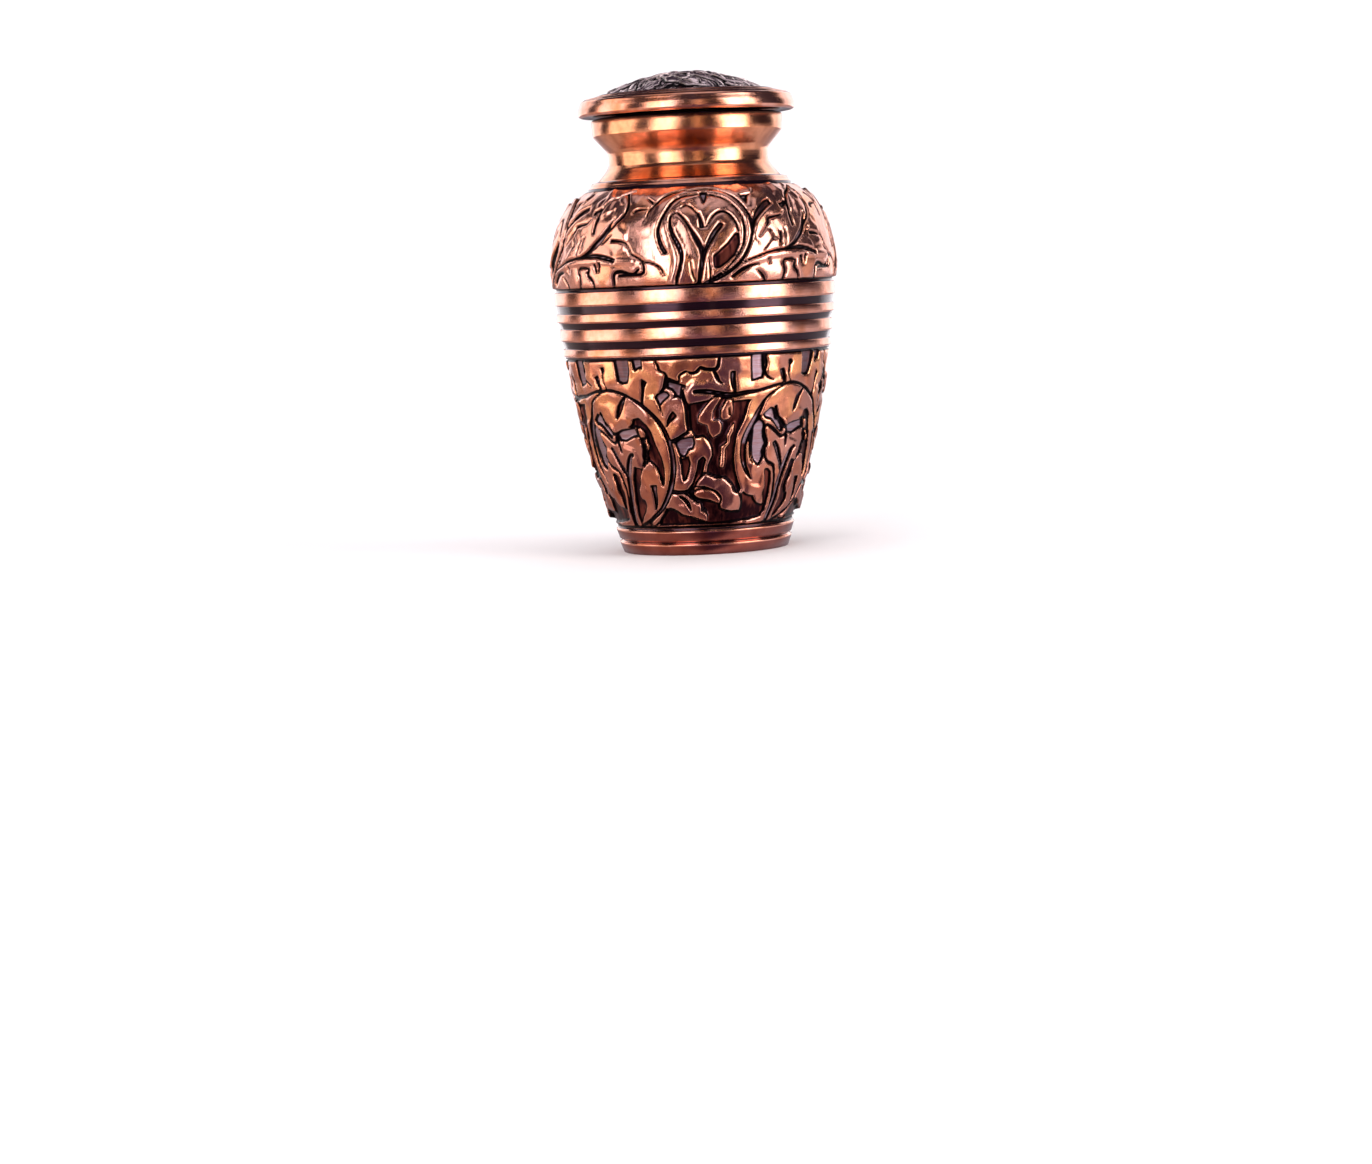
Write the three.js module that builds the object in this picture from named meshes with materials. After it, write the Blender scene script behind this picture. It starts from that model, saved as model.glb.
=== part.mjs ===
// Keepsake cremation urn: a turned and leaf-carved brass vessel with a lift-off domed lid.
// Millimetres, +Z up, origin at the centre of the underside. Two closed solids: body and lid.
import * as THREE from 'three';

// Driving sizes
const urnHeight = 80;
const shoulderRadius = 24.1;
const footRadius = 13.95;
const collarRadius = 16;
const flangeRadius = 18.15;
const neckBore = 11.7;
const wall = 1.8;

// Heights of the main stretches
const friezeFoot = 4.7;
const friezeTop = 32.9;
const shoulderFoot = 44.6;
const shoulderTop = 60.9;
const rimHeight = 72.7;
const lidGap = 0.3;
const lidSeat = rimHeight + lidGap;

// Carving
const leafLevel = 0;
const vineLevel = 0.25;
const groundLevel = -0.6;
const veinLevel = -0.3;
const veinShares = [0.25, 0.6];
const edgeStep = 0.2;
const trench = 0.9;
const quarter = 90;
const lobeAt = 0.62;
const notchAt = 0.88;
const notchDepth = 0.7;
const tipSpan = 0.55;
const tipWidth = 0.45;
const lowerMeanRadius = 20;
const upperMeanRadius = 22.5;
const archTurn = 45;

// Mesh fineness
const plainColumns = 30;
const boreColumns = 18;
const friezeColumns = 40;
const edgeSpacing = 2.8;
const slightCorner = 0.25;
const shortest = 0.001;
const pointClearance = 0.3;
const levelClearance = 1;
const fillSpacing = 4;

const copper = new THREE.MeshStandardMaterial({ color: 0xb5653f, roughness: 0.32, metalness: 1 });
const copperLid = new THREE.MeshStandardMaterial({ color: 0xbd7350, roughness: 0.3, metalness: 1 });

// Plain turned stretches, as [radius, height] from the foot upwards
const recess = 0.6;
const recessRadius = 11.4;
const recessFlare = 0.5;
const base = [
  [footRadius, 0], [14.6, 1.8], [14.1, 2.1], [14.55, 2.4], [15.1, 4], [14.75, 4.4],
];
const grooveDepth = 0.32;
const grooveBevel = 0.15;
const bands = [
  { foot: 33.45, top: 34.7, radius: 22.55 },
  { foot: 36.05, top: 38, radius: 22.95 },
  { foot: 39.15, top: 40.55, radius: 23.4 },
  { foot: 41.95, top: 44.15, radius: 23.6 },
];
const neck = [
  [17, 61.1], [16.7, 61.35], [16.3, 62], [15.35, 62.2], [14.3, 63.4], [13.45, 64.7],
  [13.35, 66.3], [13.75, 67.4], [15.85, 69.8], [collarRadius, rimHeight],
];
const boreFoot = 62.5;
const chamberShoulder = 15;
const chamberShares = [0.75, 0.5, 0.25];
const floorCurve = 1.3;
const rimChamfer = 0.4;
const rimInnerRadius = neckBore + rimChamfer;

// Leafy stretches follow smooth curves through these [radius, height] points
const lowerCurve = curveThrough([
  [15.3, friezeFoot], [16.8, 8.6], [19.05, 16.6], [20.95, 24.7], [22.4, friezeTop],
]);
const upperCurve = curveThrough([
  [23.75, shoulderFoot], [shoulderRadius, 47.8], [23.65, 51.8],
  [22.3, 55.9], [20.1, 58.9], [17.3, shoulderTop],
]);

// A leaf grows along its midrib. Its two lists hold the half widths of the lobes on the left and right.
// Points are [degrees, millimetres up the frieze]; the lower frieze counts degrees from its arch's middle.
const lowerLeaves = [
  { midrib: [[-45, 21.8], [-45.5, 33]], stalk: 3.4, left: [2.7, 2.6], right: [2.5, 2.3] },
  { midrib: [[-29.5, 22.6], [-29.5, 33]], stalk: 3.8, left: [2.3, 2.4], right: [2.3, 2.3] },
  { midrib: [[-6, 23.8], [-6, 33]], stalk: 4.2, left: [2.6, 2.3], right: [2.6, 2.3] },
  { midrib: [[28.5, 15.6], [25.5, 20], [19, 26.4], [17.5, 33]], stalk: 1,
    left: [1.3, 1.9, 2.2], right: [0.9, 1.7, 2.1] },
  { midrib: [[30.5, 15.2], [34, 19], [36.5, 24.6]], stalk: 3, left: [2, 1.6], right: [2, 1.7] },
  { midrib: [[-38.5, 23], [-39.5, 19.5], [-39.5, 15.4]], stalk: 2.2, left: [1.2, 1.1], right: [1.1, 1.2] },
  { midrib: [[28, 6.8], [37.5, 9.4], [46, 16.4]], stalk: 1, left: [1.1, 1.5, 1.4], right: [1.1, 1.6, 2] },
  { midrib: [[22, 4], [33, 4.2], [47.5, 1]], stalk: 1.4, left: [1.6, 1.7, 1.2], right: [1.3, 1.4, 1] },
  { midrib: [[38.5, 6.6], [51, 6], [65.5, 3.4]], stalk: 1.6, left: [1.8, 2.4, 1.5], right: [1.1, 1.8, 1.5] },
  { midrib: [[-5, 23.4], [-18.5, 19.6], [-24.5, 13.5], [-19.5, 8], [-10, 4]], stalk: 1.2,
    left: [1.7, 1.4, 1.9, 2.2], right: [1.5, 1.3, 1.3, 1.7] },
  { midrib: [[3.5, 23.6], [3.8, 20.5], [2, 15.9]], stalk: 6.6, left: [4, 3.6], right: [4, 2.8] },
  { midrib: [[2, 9.2], [-5, 13], [-12, 17.4]], stalk: 1.4, left: [2.2, 2.4], right: [1.8, 1.6] },
  { midrib: [[2.5, 9.8], [7.5, 13], [14.5, 16.8]], stalk: 1.2, left: [1.6, 1.6], right: [1.8, 1.9] },
  { midrib: [[7, 0.9], [14, 5], [17, 11.2]], stalk: 1.4, left: [2.1, 2.2, 1.6], right: [1.5, 1.8, 1.6] },
];
const lowerVines = [
  { path: [
    [-48, 22.9], [-29, 22.3], [-10, 23.4], [6, 23.5], [18.6, 20.1],
    [26.2, 15], [26.6, 9.6], [19.8, 5], [5, 0.6],
  ], widths: [0.6, 1.1, 1.6, 1.9, 1.9, 1.8, 1.3] },
  { path: [[-8.5, 0], [-5, 4], [-4.2, 8], [-5.5, 11.2]], widths: [1.2, 1, 0.8] },
];
const upperLeaves = [
  { midrib: [[5.5, 16], [5, 13.8], [4, 11.9]], stalk: 2.8, left: [2.4], right: [2.5] },
  { midrib: [[2.5, 4.2], [-2.5, 8], [-5.5, 12.8]], stalk: 1, left: [1.7, 1.8], right: [1.2, 1.2] },
  { midrib: [[4.5, 4.2], [11, 6.8], [15.5, 12.8]], stalk: 1, left: [1.3, 1.3], right: [1.7, 1.8] },
  { midrib: [[4, 15.8], [-8, 14.6], [-15.5, 10.6], [-15, 6.6], [-8, 1.2]], stalk: 1,
    left: [1.3, 1.2, 1.4, 1.3], right: [1.2, 1.1, 0.9, 1] },
  { midrib: [[25.5, 9.2], [32, 11.8], [38.5, 15.8]], stalk: 1.4, left: [2.2, 2.1], right: [1.9, 2] },
  { midrib: [[46, 9.4], [47.5, 13], [46, 18.6]], stalk: 1.4, left: [2.1, 2], right: [1.9, 2] },
  { midrib: [[29, 4.4], [42, 7.3], [54.5, 13.6]], stalk: 1, left: [1.5, 1.9, 1.7], right: [1.2, 1.9, 1.8] },
  { midrib: [[30, 4.6], [30.5, 2.4], [31, -1]], stalk: 2, left: [1.8], right: [1.8] },
  { midrib: [[39.5, 4.4], [40, 2.4], [41, -1]], stalk: 2, left: [1.7], right: [1.7] },
  { midrib: [[49, 4.6], [49.5, 2.6], [50, -1]], stalk: 2, left: [1.7], right: [1.7] },
  { midrib: [[58.5, 4.6], [60, 2.4], [61, -1]], stalk: 1.8, left: [1.6], right: [1.7] },
  { midrib: [[60, 6], [57.5, 9.2], [56, 12]], stalk: 1.6, left: [1.5], right: [1.6] },
  { midrib: [[24.5, 15], [25, 20]], stalk: 2.8, left: [2.7], right: [2.6] },
  { midrib: [[60.5, 14.4], [59.5, 20]], stalk: 2.8, left: [2.6], right: [2.7] },
];
const upperVines = [
  { path: [[3.5, 0], [17, 2.9], [24.5, 7.8], [24.5, 10.1], [17, 14.7], [10, 15.9], [2, 16.4], [-6, 15.6]],
    widths: [1, 1.2, 1.3, 1.2, 1] },
  { path: [[19, 2.8], [27, 4.2], [38, 5], [57, 5], [66, 4.2]], widths: [1.1, 1, 0.9, 0.7] },
];

// The dome's leaves spring from a ring of vines; points are [degrees, millimetres from the middle]
const domeLeaves = [
  { midrib: [[52, 4.4], [62, 8.4], [76, 12.9]], stalk: 1.2, left: [1.7, 1.9], right: [1.5, 1.7] },
  { midrib: [[0, 0.8], [14, 6.2], [40, 12.2]], stalk: 1, left: [1.6, 2.5, 1.9], right: [1.5, 2.3, 2.1] },
];
const domeVines = [
  { path: [[-6, 13.4], [-12, 9.6], [-2, 5.6], [34, 3.4]], widths: [1.1, 1, 0.9] },
];

function curveThrough(points) {
  return new THREE.SplineCurve(points.map(([x, y]) => new THREE.Vector2(x, y)));
}

// Points of a motif, turned from degrees to millimetres along a frieze of the given mean radius
function onFrieze(points, meanRadius) {
  return points.map(([angle, up]) => [THREE.MathUtils.degToRad(angle) * meanRadius, up]);
}

// Points of a motif on the dome, seen from above and turned by the given angle
function onDome(points, turn) {
  return points.map(([angle, out]) => {
    const a = THREE.MathUtils.degToRad(angle + turn);
    return [out * Math.cos(a), out * Math.sin(a)];
  });
}

function besideCurve(curve, share, offset) {
  const point = curve.getPointAt(share);
  const along = curve.getTangentAt(share);
  return new THREE.Vector2(point.x - along.y * offset, point.y + along.x * offset);
}

// Lobed outline: each lobe is a point at its half width, followed by a notch nearer the midrib
function leafOutline(leaf, place) {
  const curve = curveThrough(place(leaf.midrib));
  const side = (lobes, sign) => {
    const points = [besideCurve(curve, 0, (sign * leaf.stalk) / 2)];
    const span = 1 / (lobes.length + tipSpan);
    lobes.forEach((half, k) => {
      const next = lobes[k + 1] ?? tipWidth * half;
      const notch = notchDepth * Math.min(half, next + slightCorner);
      points.push(besideCurve(curve, (k + lobeAt) * span, sign * half));
      points.push(besideCurve(curve, (k + notchAt) * span, sign * notch));
    });
    return points;
  };
  return [...side(leaf.left, 1), curve.getPointAt(1), ...side(leaf.right, -1).reverse()];
}

function vineOutline(vine, place) {
  const curve = curveThrough(place(vine.path));
  const steps = 3 * vine.path.length;
  const left = [];
  const right = [];
  for (let i = 0; i <= steps; i += 1) {
    const share = i / steps;
    const position = share * (vine.widths.length - 1);
    const k = Math.min(Math.floor(position), vine.widths.length - 2);
    const width = THREE.MathUtils.lerp(vine.widths[k], vine.widths[k + 1], position - k);
    left.push(besideCurve(curve, share, width / 2));
    right.push(besideCurve(curve, share, -width / 2));
  }
  return [...left, ...right.reverse()];
}

// Nearest point of an outline, with the distance to it, positive inside
function nearestOnOutline(point, outline) {
  let best = Infinity;
  let inside = false;
  const nearest = new THREE.Vector2();
  outline.forEach((a, i) => {
    const b = outline[(i + 1) % outline.length];
    const edge = b.clone().sub(a);
    const share = THREE.MathUtils.clamp(point.clone().sub(a).dot(edge) / edge.lengthSq(), 0, 1);
    const candidate = a.clone().addScaledVector(edge, share);
    const distance = candidate.distanceTo(point);
    if (distance < best) {
      best = distance;
      nearest.copy(candidate);
    }
    const crosses = a.y > point.y !== b.y > point.y;
    if (crosses && point.x < a.x + ((point.y - a.y) * edge.x) / edge.y) inside = !inside;
  });
  return { nearest, depth: inside ? best : -best };
}

// All shapes of a carving, lowest first; placings put each motif on the unrolled surface
function carvingShapes(leaves, vines, placings) {
  const leafShapes = placings.flatMap((place) => leaves.map((leaf) => ({
    outline: leafOutline(leaf, place), level: leafLevel, vein: curveThrough(place(leaf.midrib)),
  })));
  const vineShapes = placings.flatMap((place) => vines.map((vine) => ({
    outline: vineOutline(vine, place), level: vineLevel,
  })));
  return [...leafShapes, ...vineShapes];
}

function depthIn(shape, point) {
  return nearestOnOutline(point, shape.outline).depth;
}

function covered(point, shapes, margin) {
  return shapes.some((shape) => depthIn(shape, point) > -margin);
}

// Carved points: each visible edge gets a point on its brow, one at its foot and, where a vine crosses
// a leaf, one on the leaf beyond the trench. Leaf veins get points of their own.
function carvedPoints(shapes) {
  const points = [];
  shapes.forEach((shape, order) => {
    const above = shapes.slice(order + 1);
    const below = shapes.slice(0, order);
    for (const { at, outward } of edgeStations(shape.outline)) {
      const offset = (distance) => at.clone().addScaledVector(outward, distance);
      const brow = offset(-edgeStep);
      const foot = offset(edgeStep);
      const beyond = offset(trench);
      if (!covered(brow, above, edgeStep)) points.push({ flat: brow, level: shape.level });
      if (!covered(foot, above, 0)) points.push({ flat: foot, level: groundLevel });
      const besideVine = !shape.vein && below.some((lower) => depthIn(lower, beyond) > edgeStep);
      if (besideVine && !covered(beyond, above, edgeStep)) points.push({ flat: beyond, level: leafLevel });
    }
    for (const share of shape.vein ? veinShares : []) {
      const flat = shape.vein.getPointAt(share);
      if (!covered(flat, above, edgeStep)) points.push({ flat, level: veinLevel });
    }
  });
  return points;
}

// Stations round an outline: its true corners, and points between where an edge is long
function edgeStations(fullOutline) {
  const outline = withoutSlightCorners(fullOutline);
  const area = outline.reduce((sum, a, i) => sum + a.cross(outline[(i + 1) % outline.length]), 0);
  const normals = outline.map((a, i) => {
    const edge = outline[(i + 1) % outline.length].clone().sub(a).normalize();
    return new THREE.Vector2(edge.y, -edge.x).multiplyScalar(Math.sign(area));
  });
  return outline.flatMap((a, i) => {
    const b = outline[(i + 1) % outline.length];
    const before = normals[(i + outline.length - 1) % outline.length];
    const corner = before.clone().add(normals[i]).normalize();
    const pieces = Math.ceil(a.distanceTo(b) / edgeSpacing);
    return Array.from({ length: pieces }, (_, k) => ({
      at: a.clone().lerp(b, k / pieces), outward: k === 0 ? corner : normals[i],
    }));
  });
}

// Leaves out corners that stand less than the given amount off the line past them
function withoutSlightCorners(outline) {
  const kept = [outline[0]];
  for (let i = 1; i < outline.length; i += 1) {
    const past = outline[(i + 1) % outline.length].clone().sub(kept.at(-1));
    const offset = outline[i].clone().sub(kept.at(-1));
    const height = Math.abs(past.cross(offset)) / Math.max(past.length(), shortest);
    if (height > slightCorner) kept.push(outline[i]);
  }
  return kept;
}

function levelAt(point, shapes) {
  const top = shapes.findLast((shape) => depthIn(shape, point) > 0);
  return top ? top.level : groundLevel;
}

// Keeps the points that stand clear of those before them, and further from those of their own level
function thinned(candidates, kept, clearance, levelClearance) {
  for (const candidate of candidates) {
    const clear = kept.every((other) => {
      const least = other.level === candidate.level ? levelClearance : clearance;
      return other.flat.distanceTo(candidate.flat) >= least;
    });
    if (clear) kept.push(candidate);
  }
  return kept;
}

// Delaunay triangles of points in the plane, by adding one point at a time. A tiny nudge, different for
// each point, keeps any four of them off one circle.
function triangulate(points) {
  const far = 1000;
  const nudge = 1e-6;
  const all = points.map(({ x, y }, k) => [x + nudge * Math.sin(7 * k), y + nudge * Math.cos(5 * k)]);
  const n = all.length;
  all.push([-far, -far], [far, -far], [0, far]);
  let triangles = [withCircle([n, n + 1, n + 2], all)];
  for (let k = 0; k < n; k += 1) {
    const [x, y] = all[k];
    const edges = new Map();
    const kept = [];
    for (const triangle of triangles) {
      const { corners, centre, square } = triangle;
      if ((x - centre[0]) ** 2 + (y - centre[1]) ** 2 >= square) {
        kept.push(triangle);
        continue;
      }
      corners.forEach((a, i) => {
        const b = corners[(i + 1) % 3];
        if (!edges.delete(`${b} ${a}`)) edges.set(`${a} ${b}`, [a, b]);
      });
    }
    for (const [a, b] of edges.values()) kept.push(withCircle([a, b, k], all));
    triangles = kept;
  }
  return triangles.map(({ corners }) => corners).filter((corners) => corners.every((k) => k < n));
}

function withCircle(corners, all) {
  const [[ax, ay], [bx, by], [cx, cy]] = corners.map((k) => all[k]);
  const [ux, uy, vx, vy] = [bx - ax, by - ay, cx - ax, cy - ay];
  const cross = 2 * (ux * vy - uy * vx);
  const x = (vy * (ux * ux + uy * uy) - uy * (vx * vx + vy * vy)) / cross;
  const y = (ux * (vx * vx + vy * vy) - vx * (ux * ux + uy * uy)) / cross;
  return { corners, centre: [ax + x, ay + y], square: x * x + y * y };
}

// One frieze as a patch between two plain rings, triangulated on a flat ring that keeps its angles
function friezePatch(curve, meanRadius, turn, leaves, vines) {
  const length = curve.getLength();
  const quarterWidth = THREE.MathUtils.degToRad(quarter) * meanRadius;
  const placings = [-quarter, 0, quarter].map((shift) => (points) => (
    onFrieze(points.map(([angle, up]) => [angle + shift, up]), meanRadius)
  ));
  const shapes = carvingShapes(leaves, vines, placings);
  const border = pointClearance + edgeStep;
  const inQuarter = ({ flat }) => (
    Math.abs(flat.x) < quarterWidth / 2 && flat.y > border && flat.y < length - border
  );
  const kept = thinned(carvedPoints(shapes).filter(inQuarter), [], pointClearance, levelClearance);
  thinned(fillPoints(quarterWidth, length, shapes), kept, fillSpacing / 2, fillSpacing / 2);
  const turns = [0, 1, 2, 3].map((step) => step * quarterWidth + THREE.MathUtils.degToRad(turn) * meanRadius);
  const carved = turns.flatMap((shift) => kept.map(({ flat, level }) => (
    { flat: new THREE.Vector2(flat.x + shift, flat.y), level }
  )));
  const rim = (y) => Array.from({ length: friezeColumns }, (_, k) => (
    { flat: new THREE.Vector2((k / friezeColumns) * 4 * quarterWidth, y), level: leafLevel }
  ));
  const points = [...rim(0), ...rim(length), ...carved];
  const onRing = points.map(({ flat }) => {
    const angle = flat.x / meanRadius;
    const out = Math.exp(flat.y / meanRadius);
    return new THREE.Vector2(out * Math.sin(angle), -out * Math.cos(angle));
  });
  const inHole = (corners) => corners.every((k) => k < friezeColumns);
  return {
    points: points.map(({ flat, level }) => offCurve(curve, flat.y / length, level, flat.x / meanRadius)),
    triangles: triangulate(onRing).filter((corners) => !inHole(corners)).map((c) => c.toReversed()),
    foot: Array.from({ length: friezeColumns }, (_, k) => k),
    top: Array.from({ length: friezeColumns }, (_, k) => k + friezeColumns),
  };
}

// Spare points over wide even stretches, so that these keep the vessel's curve
function fillPoints(width, length, shapes) {
  const points = [];
  const rows = Math.round(length / fillSpacing);
  const columns = Math.round(width / fillSpacing);
  for (let row = 1; row < rows; row += 1) {
    for (let column = 0; column < columns; column += 1) {
      const flat = new THREE.Vector2(((column + 0.5) / columns - 0.5) * width, (row / rows) * length);
      points.push({ flat, level: levelAt(flat, shapes) });
    }
  }
  return points;
}

// A point of a turned surface, raised by level along the surface's normal; angle 0 faces -Y
function offCurve(curve, share, level, angle) {
  const along = THREE.MathUtils.clamp(share, 0, 1);
  const point = curve.getPointAt(along);
  const tangent = curve.getTangentAt(along);
  return turned(point.x + tangent.y * level, point.y - tangent.x * level, angle);
}

function turned(radius, height, angle) {
  return new THREE.Vector3(radius * Math.sin(angle), -radius * Math.cos(angle), height);
}

function plainRing(radius, height, columns) {
  return Array.from({ length: columns }, (_, k) => turned(radius, height, (k / columns) * 2 * Math.PI));
}

// The dome, with its carving drawn as seen from above
function domePatch() {
  const placings = [0, 1, 2, 3].map((step) => (points) => onDome(points, step * quarter));
  const shapes = carvingShapes(domeLeaves, domeVines, placings);
  const rim = plainRing(domeRim, 0, plainColumns).map(({ x, y }) => (
    { flat: new THREE.Vector2(x, y), level: leafLevel }
  ));
  const reach = domeRim - pointClearance - edgeStep;
  const inside = carvedPoints(shapes).filter(({ flat }) => flat.length() < reach);
  const middle = { flat: new THREE.Vector2(0, 0), level: leafLevel };
  const kept = thinned([middle, ...inside], [], pointClearance, levelClearance);
  const points = [...rim, ...kept];
  return {
    points: points.map(({ flat, level }) => {
      const up = domeTop - domeSphere + Math.sqrt(domeSphere ** 2 - flat.lengthSq());
      return new THREE.Vector3(flat.x, flat.y, up + level);
    }),
    triangles: triangulate(points.map(({ flat }) => flat)),
    foot: rim.map((_, k) => k),
    top: [],
  };
}

function pole(height) {
  return [new THREE.Vector3(0, 0, height)];
}

// Closed mesh over courses, each a ring of points or a carved patch, every one stitched to the next
function closedMesh(courses) {
  const points = [];
  const indices = [];
  let previous = [];
  for (const course of courses) {
    const every = Array.isArray(course) ? course.map((_, k) => k) : [];
    const patch = Array.isArray(course) ? { points: course, triangles: [], foot: every, top: every } : course;
    const start = points.length;
    points.push(...patch.points);
    patch.triangles.forEach((corners) => indices.push(...corners.map((k) => k + start)));
    stitch(points, previous, patch.foot.map((k) => k + start), indices);
    previous = patch.top.map((k) => k + start);
  }
  const geometry = new THREE.BufferGeometry().setFromPoints(points);
  geometry.setIndex(indices);
  geometry.computeVertexNormals();
  return geometry;
}

// Joins two rings of any counts, from a matching start; at each step the shorter new edge is drawn
function stitch(points, lower, upper, indices) {
  if (!lower.length || !upper.length) return;
  const n = lower.length;
  const m = upper.length;
  const apart = (a, b) => points[a].distanceTo(points[b]);
  const distances = upper.map((k) => apart(k, lower[0]));
  const match = distances.indexOf(Math.min(...distances));
  const lowerAt = (i) => lower[i % n];
  const upperAt = (j) => upper[(j + match) % m];
  const lowerSteps = n === 1 ? 0 : n;
  const upperSteps = m === 1 ? 0 : m;
  let i = 0;
  let j = 0;
  while (i < lowerSteps || j < upperSteps) {
    const shorter = apart(lowerAt(i + 1), upperAt(j)) <= apart(upperAt(j + 1), lowerAt(i));
    if (j >= upperSteps || (i < lowerSteps && shorter)) {
      indices.push(lowerAt(i), lowerAt(i + 1), upperAt(j));
      i += 1;
    } else {
      indices.push(lowerAt(i), upperAt(j + 1), upperAt(j));
      j += 1;
    }
  }
}

// Recessed stretches lie between the polished bands
function bandRings() {
  const last = bands.at(-1);
  const rings = [[bands[0].radius - grooveDepth, (friezeTop + bands[0].foot) / 2]];
  bands.forEach((band, k) => {
    rings.push([band.radius, band.foot], [band.radius, band.top]);
    const next = bands[k + 1];
    if (!next) return;
    rings.push([band.radius - grooveDepth, band.top + grooveBevel]);
    rings.push([next.radius - grooveDepth, next.foot - grooveBevel]);
  });
  rings.push([last.radius - grooveDepth, (last.top + shoulderFoot) / 2]);
  return rings.map(([radius, height]) => plainRing(radius, height, plainColumns));
}

// The inside follows the outside at the wall's thickness, from the neck's bore down to the floor
function chamberRings() {
  const floor = recess + wall;
  const inside = [[neckBore, boreFoot], [chamberShoulder, shoulderTop - wall]];
  for (const share of chamberShares) inside.push(inset(upperCurve, share));
  for (const band of [bands.at(-1), bands[0]]) inside.push([band.radius - wall, (band.foot + band.top) / 2]);
  for (const share of chamberShares) inside.push(inset(lowerCurve, share));
  inside.push([footRadius - wall, floor + floorCurve], [footRadius - wall - floorCurve, floor]);
  return inside.map(([radius, height]) => plainRing(radius, height, boreColumns));
}

function inset(curve, share) {
  const point = curve.getPointAt(share);
  const tangent = curve.getTangentAt(share);
  return [point.x - tangent.y * wall, point.y + tangent.x * wall];
}

function urnBody() {
  const plain = ([radius, height]) => plainRing(radius, height, plainColumns);
  return closedMesh([
    pole(recess), plain([recessRadius, recess]), plain([recessRadius + recessFlare, 0]),
    ...base.map(plain),
    friezePatch(lowerCurve, lowerMeanRadius, archTurn, lowerLeaves, lowerVines),
    ...bandRings(),
    friezePatch(upperCurve, upperMeanRadius, 0, upperLeaves, upperVines),
    ...neck.map(plain),
    plainRing(rimInnerRadius, rimHeight, boreColumns),
    plainRing(neckBore, rimHeight - rimChamfer, boreColumns),
    ...chamberRings(),
    pole(recess + wall),
  ]);
}

// Lid: hollow plug, overhanging flange, two fine rings and the carved dome
const plugRadius = neckBore - 0.35;
const plugBore = 9.6;
const plugDepth = 6;
const plugChamfer = 0.4;
const ceiling = [[5, 77.8], [plugBore, 76]];
const ceilingTop = 78;
const flangeRound = 0.5;
const flange = [
  [flangeRadius - flangeRound, lidSeat], [flangeRadius, lidSeat + flangeRound], [flangeRadius - 0.2, 75],
  [17.3, 75.75], [17.2, 75.95], [15.7, 76.15], [15.5, 76.05], [15.3, 76.3], [14.4, 76.6],
];
const domeSphere = 30.9;
const domeTop = urnHeight - 0.1;
const domeRim = 14.1;

function urnLid() {
  const plugFoot = lidSeat - plugDepth;
  const inside = [
    ...ceiling, [plugBore, plugFoot], [plugRadius - plugChamfer, plugFoot],
    [plugRadius, plugFoot + plugChamfer], [plugRadius, lidSeat],
  ];
  return closedMesh([
    pole(ceilingTop),
    ...inside.map(([radius, height]) => plainRing(radius, height, boreColumns)),
    ...flange.map(([radius, height]) => plainRing(radius, height, plainColumns)),
    domePatch(),
  ]);
}

function named(name, geometry, material) {
  const mesh = new THREE.Mesh(geometry, material);
  mesh.name = name;
  return mesh;
}

const urn = new THREE.Group();
urn.add(named('urn_body', urnBody(), copper));
urn.add(named('lid', urnLid(), copperLid));

export default urn;
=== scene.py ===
"""Looks of the keepsake cremation urn: chased copper leaves, polished bands and dark glossy grooves."""
import math

import bpy
import numpy as np
from mathutils import Matrix, Vector


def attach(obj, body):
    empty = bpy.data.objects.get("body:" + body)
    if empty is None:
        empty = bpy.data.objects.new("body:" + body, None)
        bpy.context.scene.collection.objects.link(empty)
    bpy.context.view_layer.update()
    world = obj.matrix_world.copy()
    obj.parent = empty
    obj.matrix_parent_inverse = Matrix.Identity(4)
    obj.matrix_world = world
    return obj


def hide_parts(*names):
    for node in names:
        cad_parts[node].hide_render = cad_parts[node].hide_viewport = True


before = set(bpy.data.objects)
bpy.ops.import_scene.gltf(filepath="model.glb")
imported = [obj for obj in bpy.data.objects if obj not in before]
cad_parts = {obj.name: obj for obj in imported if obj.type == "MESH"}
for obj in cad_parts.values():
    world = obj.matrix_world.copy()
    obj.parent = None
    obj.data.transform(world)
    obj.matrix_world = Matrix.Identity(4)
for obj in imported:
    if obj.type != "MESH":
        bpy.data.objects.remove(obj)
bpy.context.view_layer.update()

# Sizes in millimetres, as in the part; MM turns them into metres
MM = 0.001
URN_HEIGHT = 80
SHOULDER_RADIUS = 24.1
FOOT_RADIUS = 13.95
COLLAR_RADIUS = 16
FLANGE_RADIUS = 18.15
NECK_BORE = 11.7
WALL = 1.8
FRIEZE_FOOT = 4.7
FRIEZE_TOP = 32.9
SHOULDER_FOOT = 44.6
SHOULDER_TOP = 60.9
RIM_HEIGHT = 72.7
LID_SEAT = RIM_HEIGHT + 0.3

# Turned profiles, as radius and height
RECESS = 0.6
RECESS_RADIUS = 11.4
RECESS_FLARE = 0.5
BASE = [
    (FOOT_RADIUS, 0), (14.6, 1.8), (14.1, 2.05), (14.1, 2.2),
    (14.55, 2.4), (15.1, 4), (14.8, 4.2), (14.8, 4.5),
]
LIP_SHARE = 0.14
GROOVE_DEPTH = 0.32
GROOVE_EDGE = 0.1
BAND_BEVEL = 0.05
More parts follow.
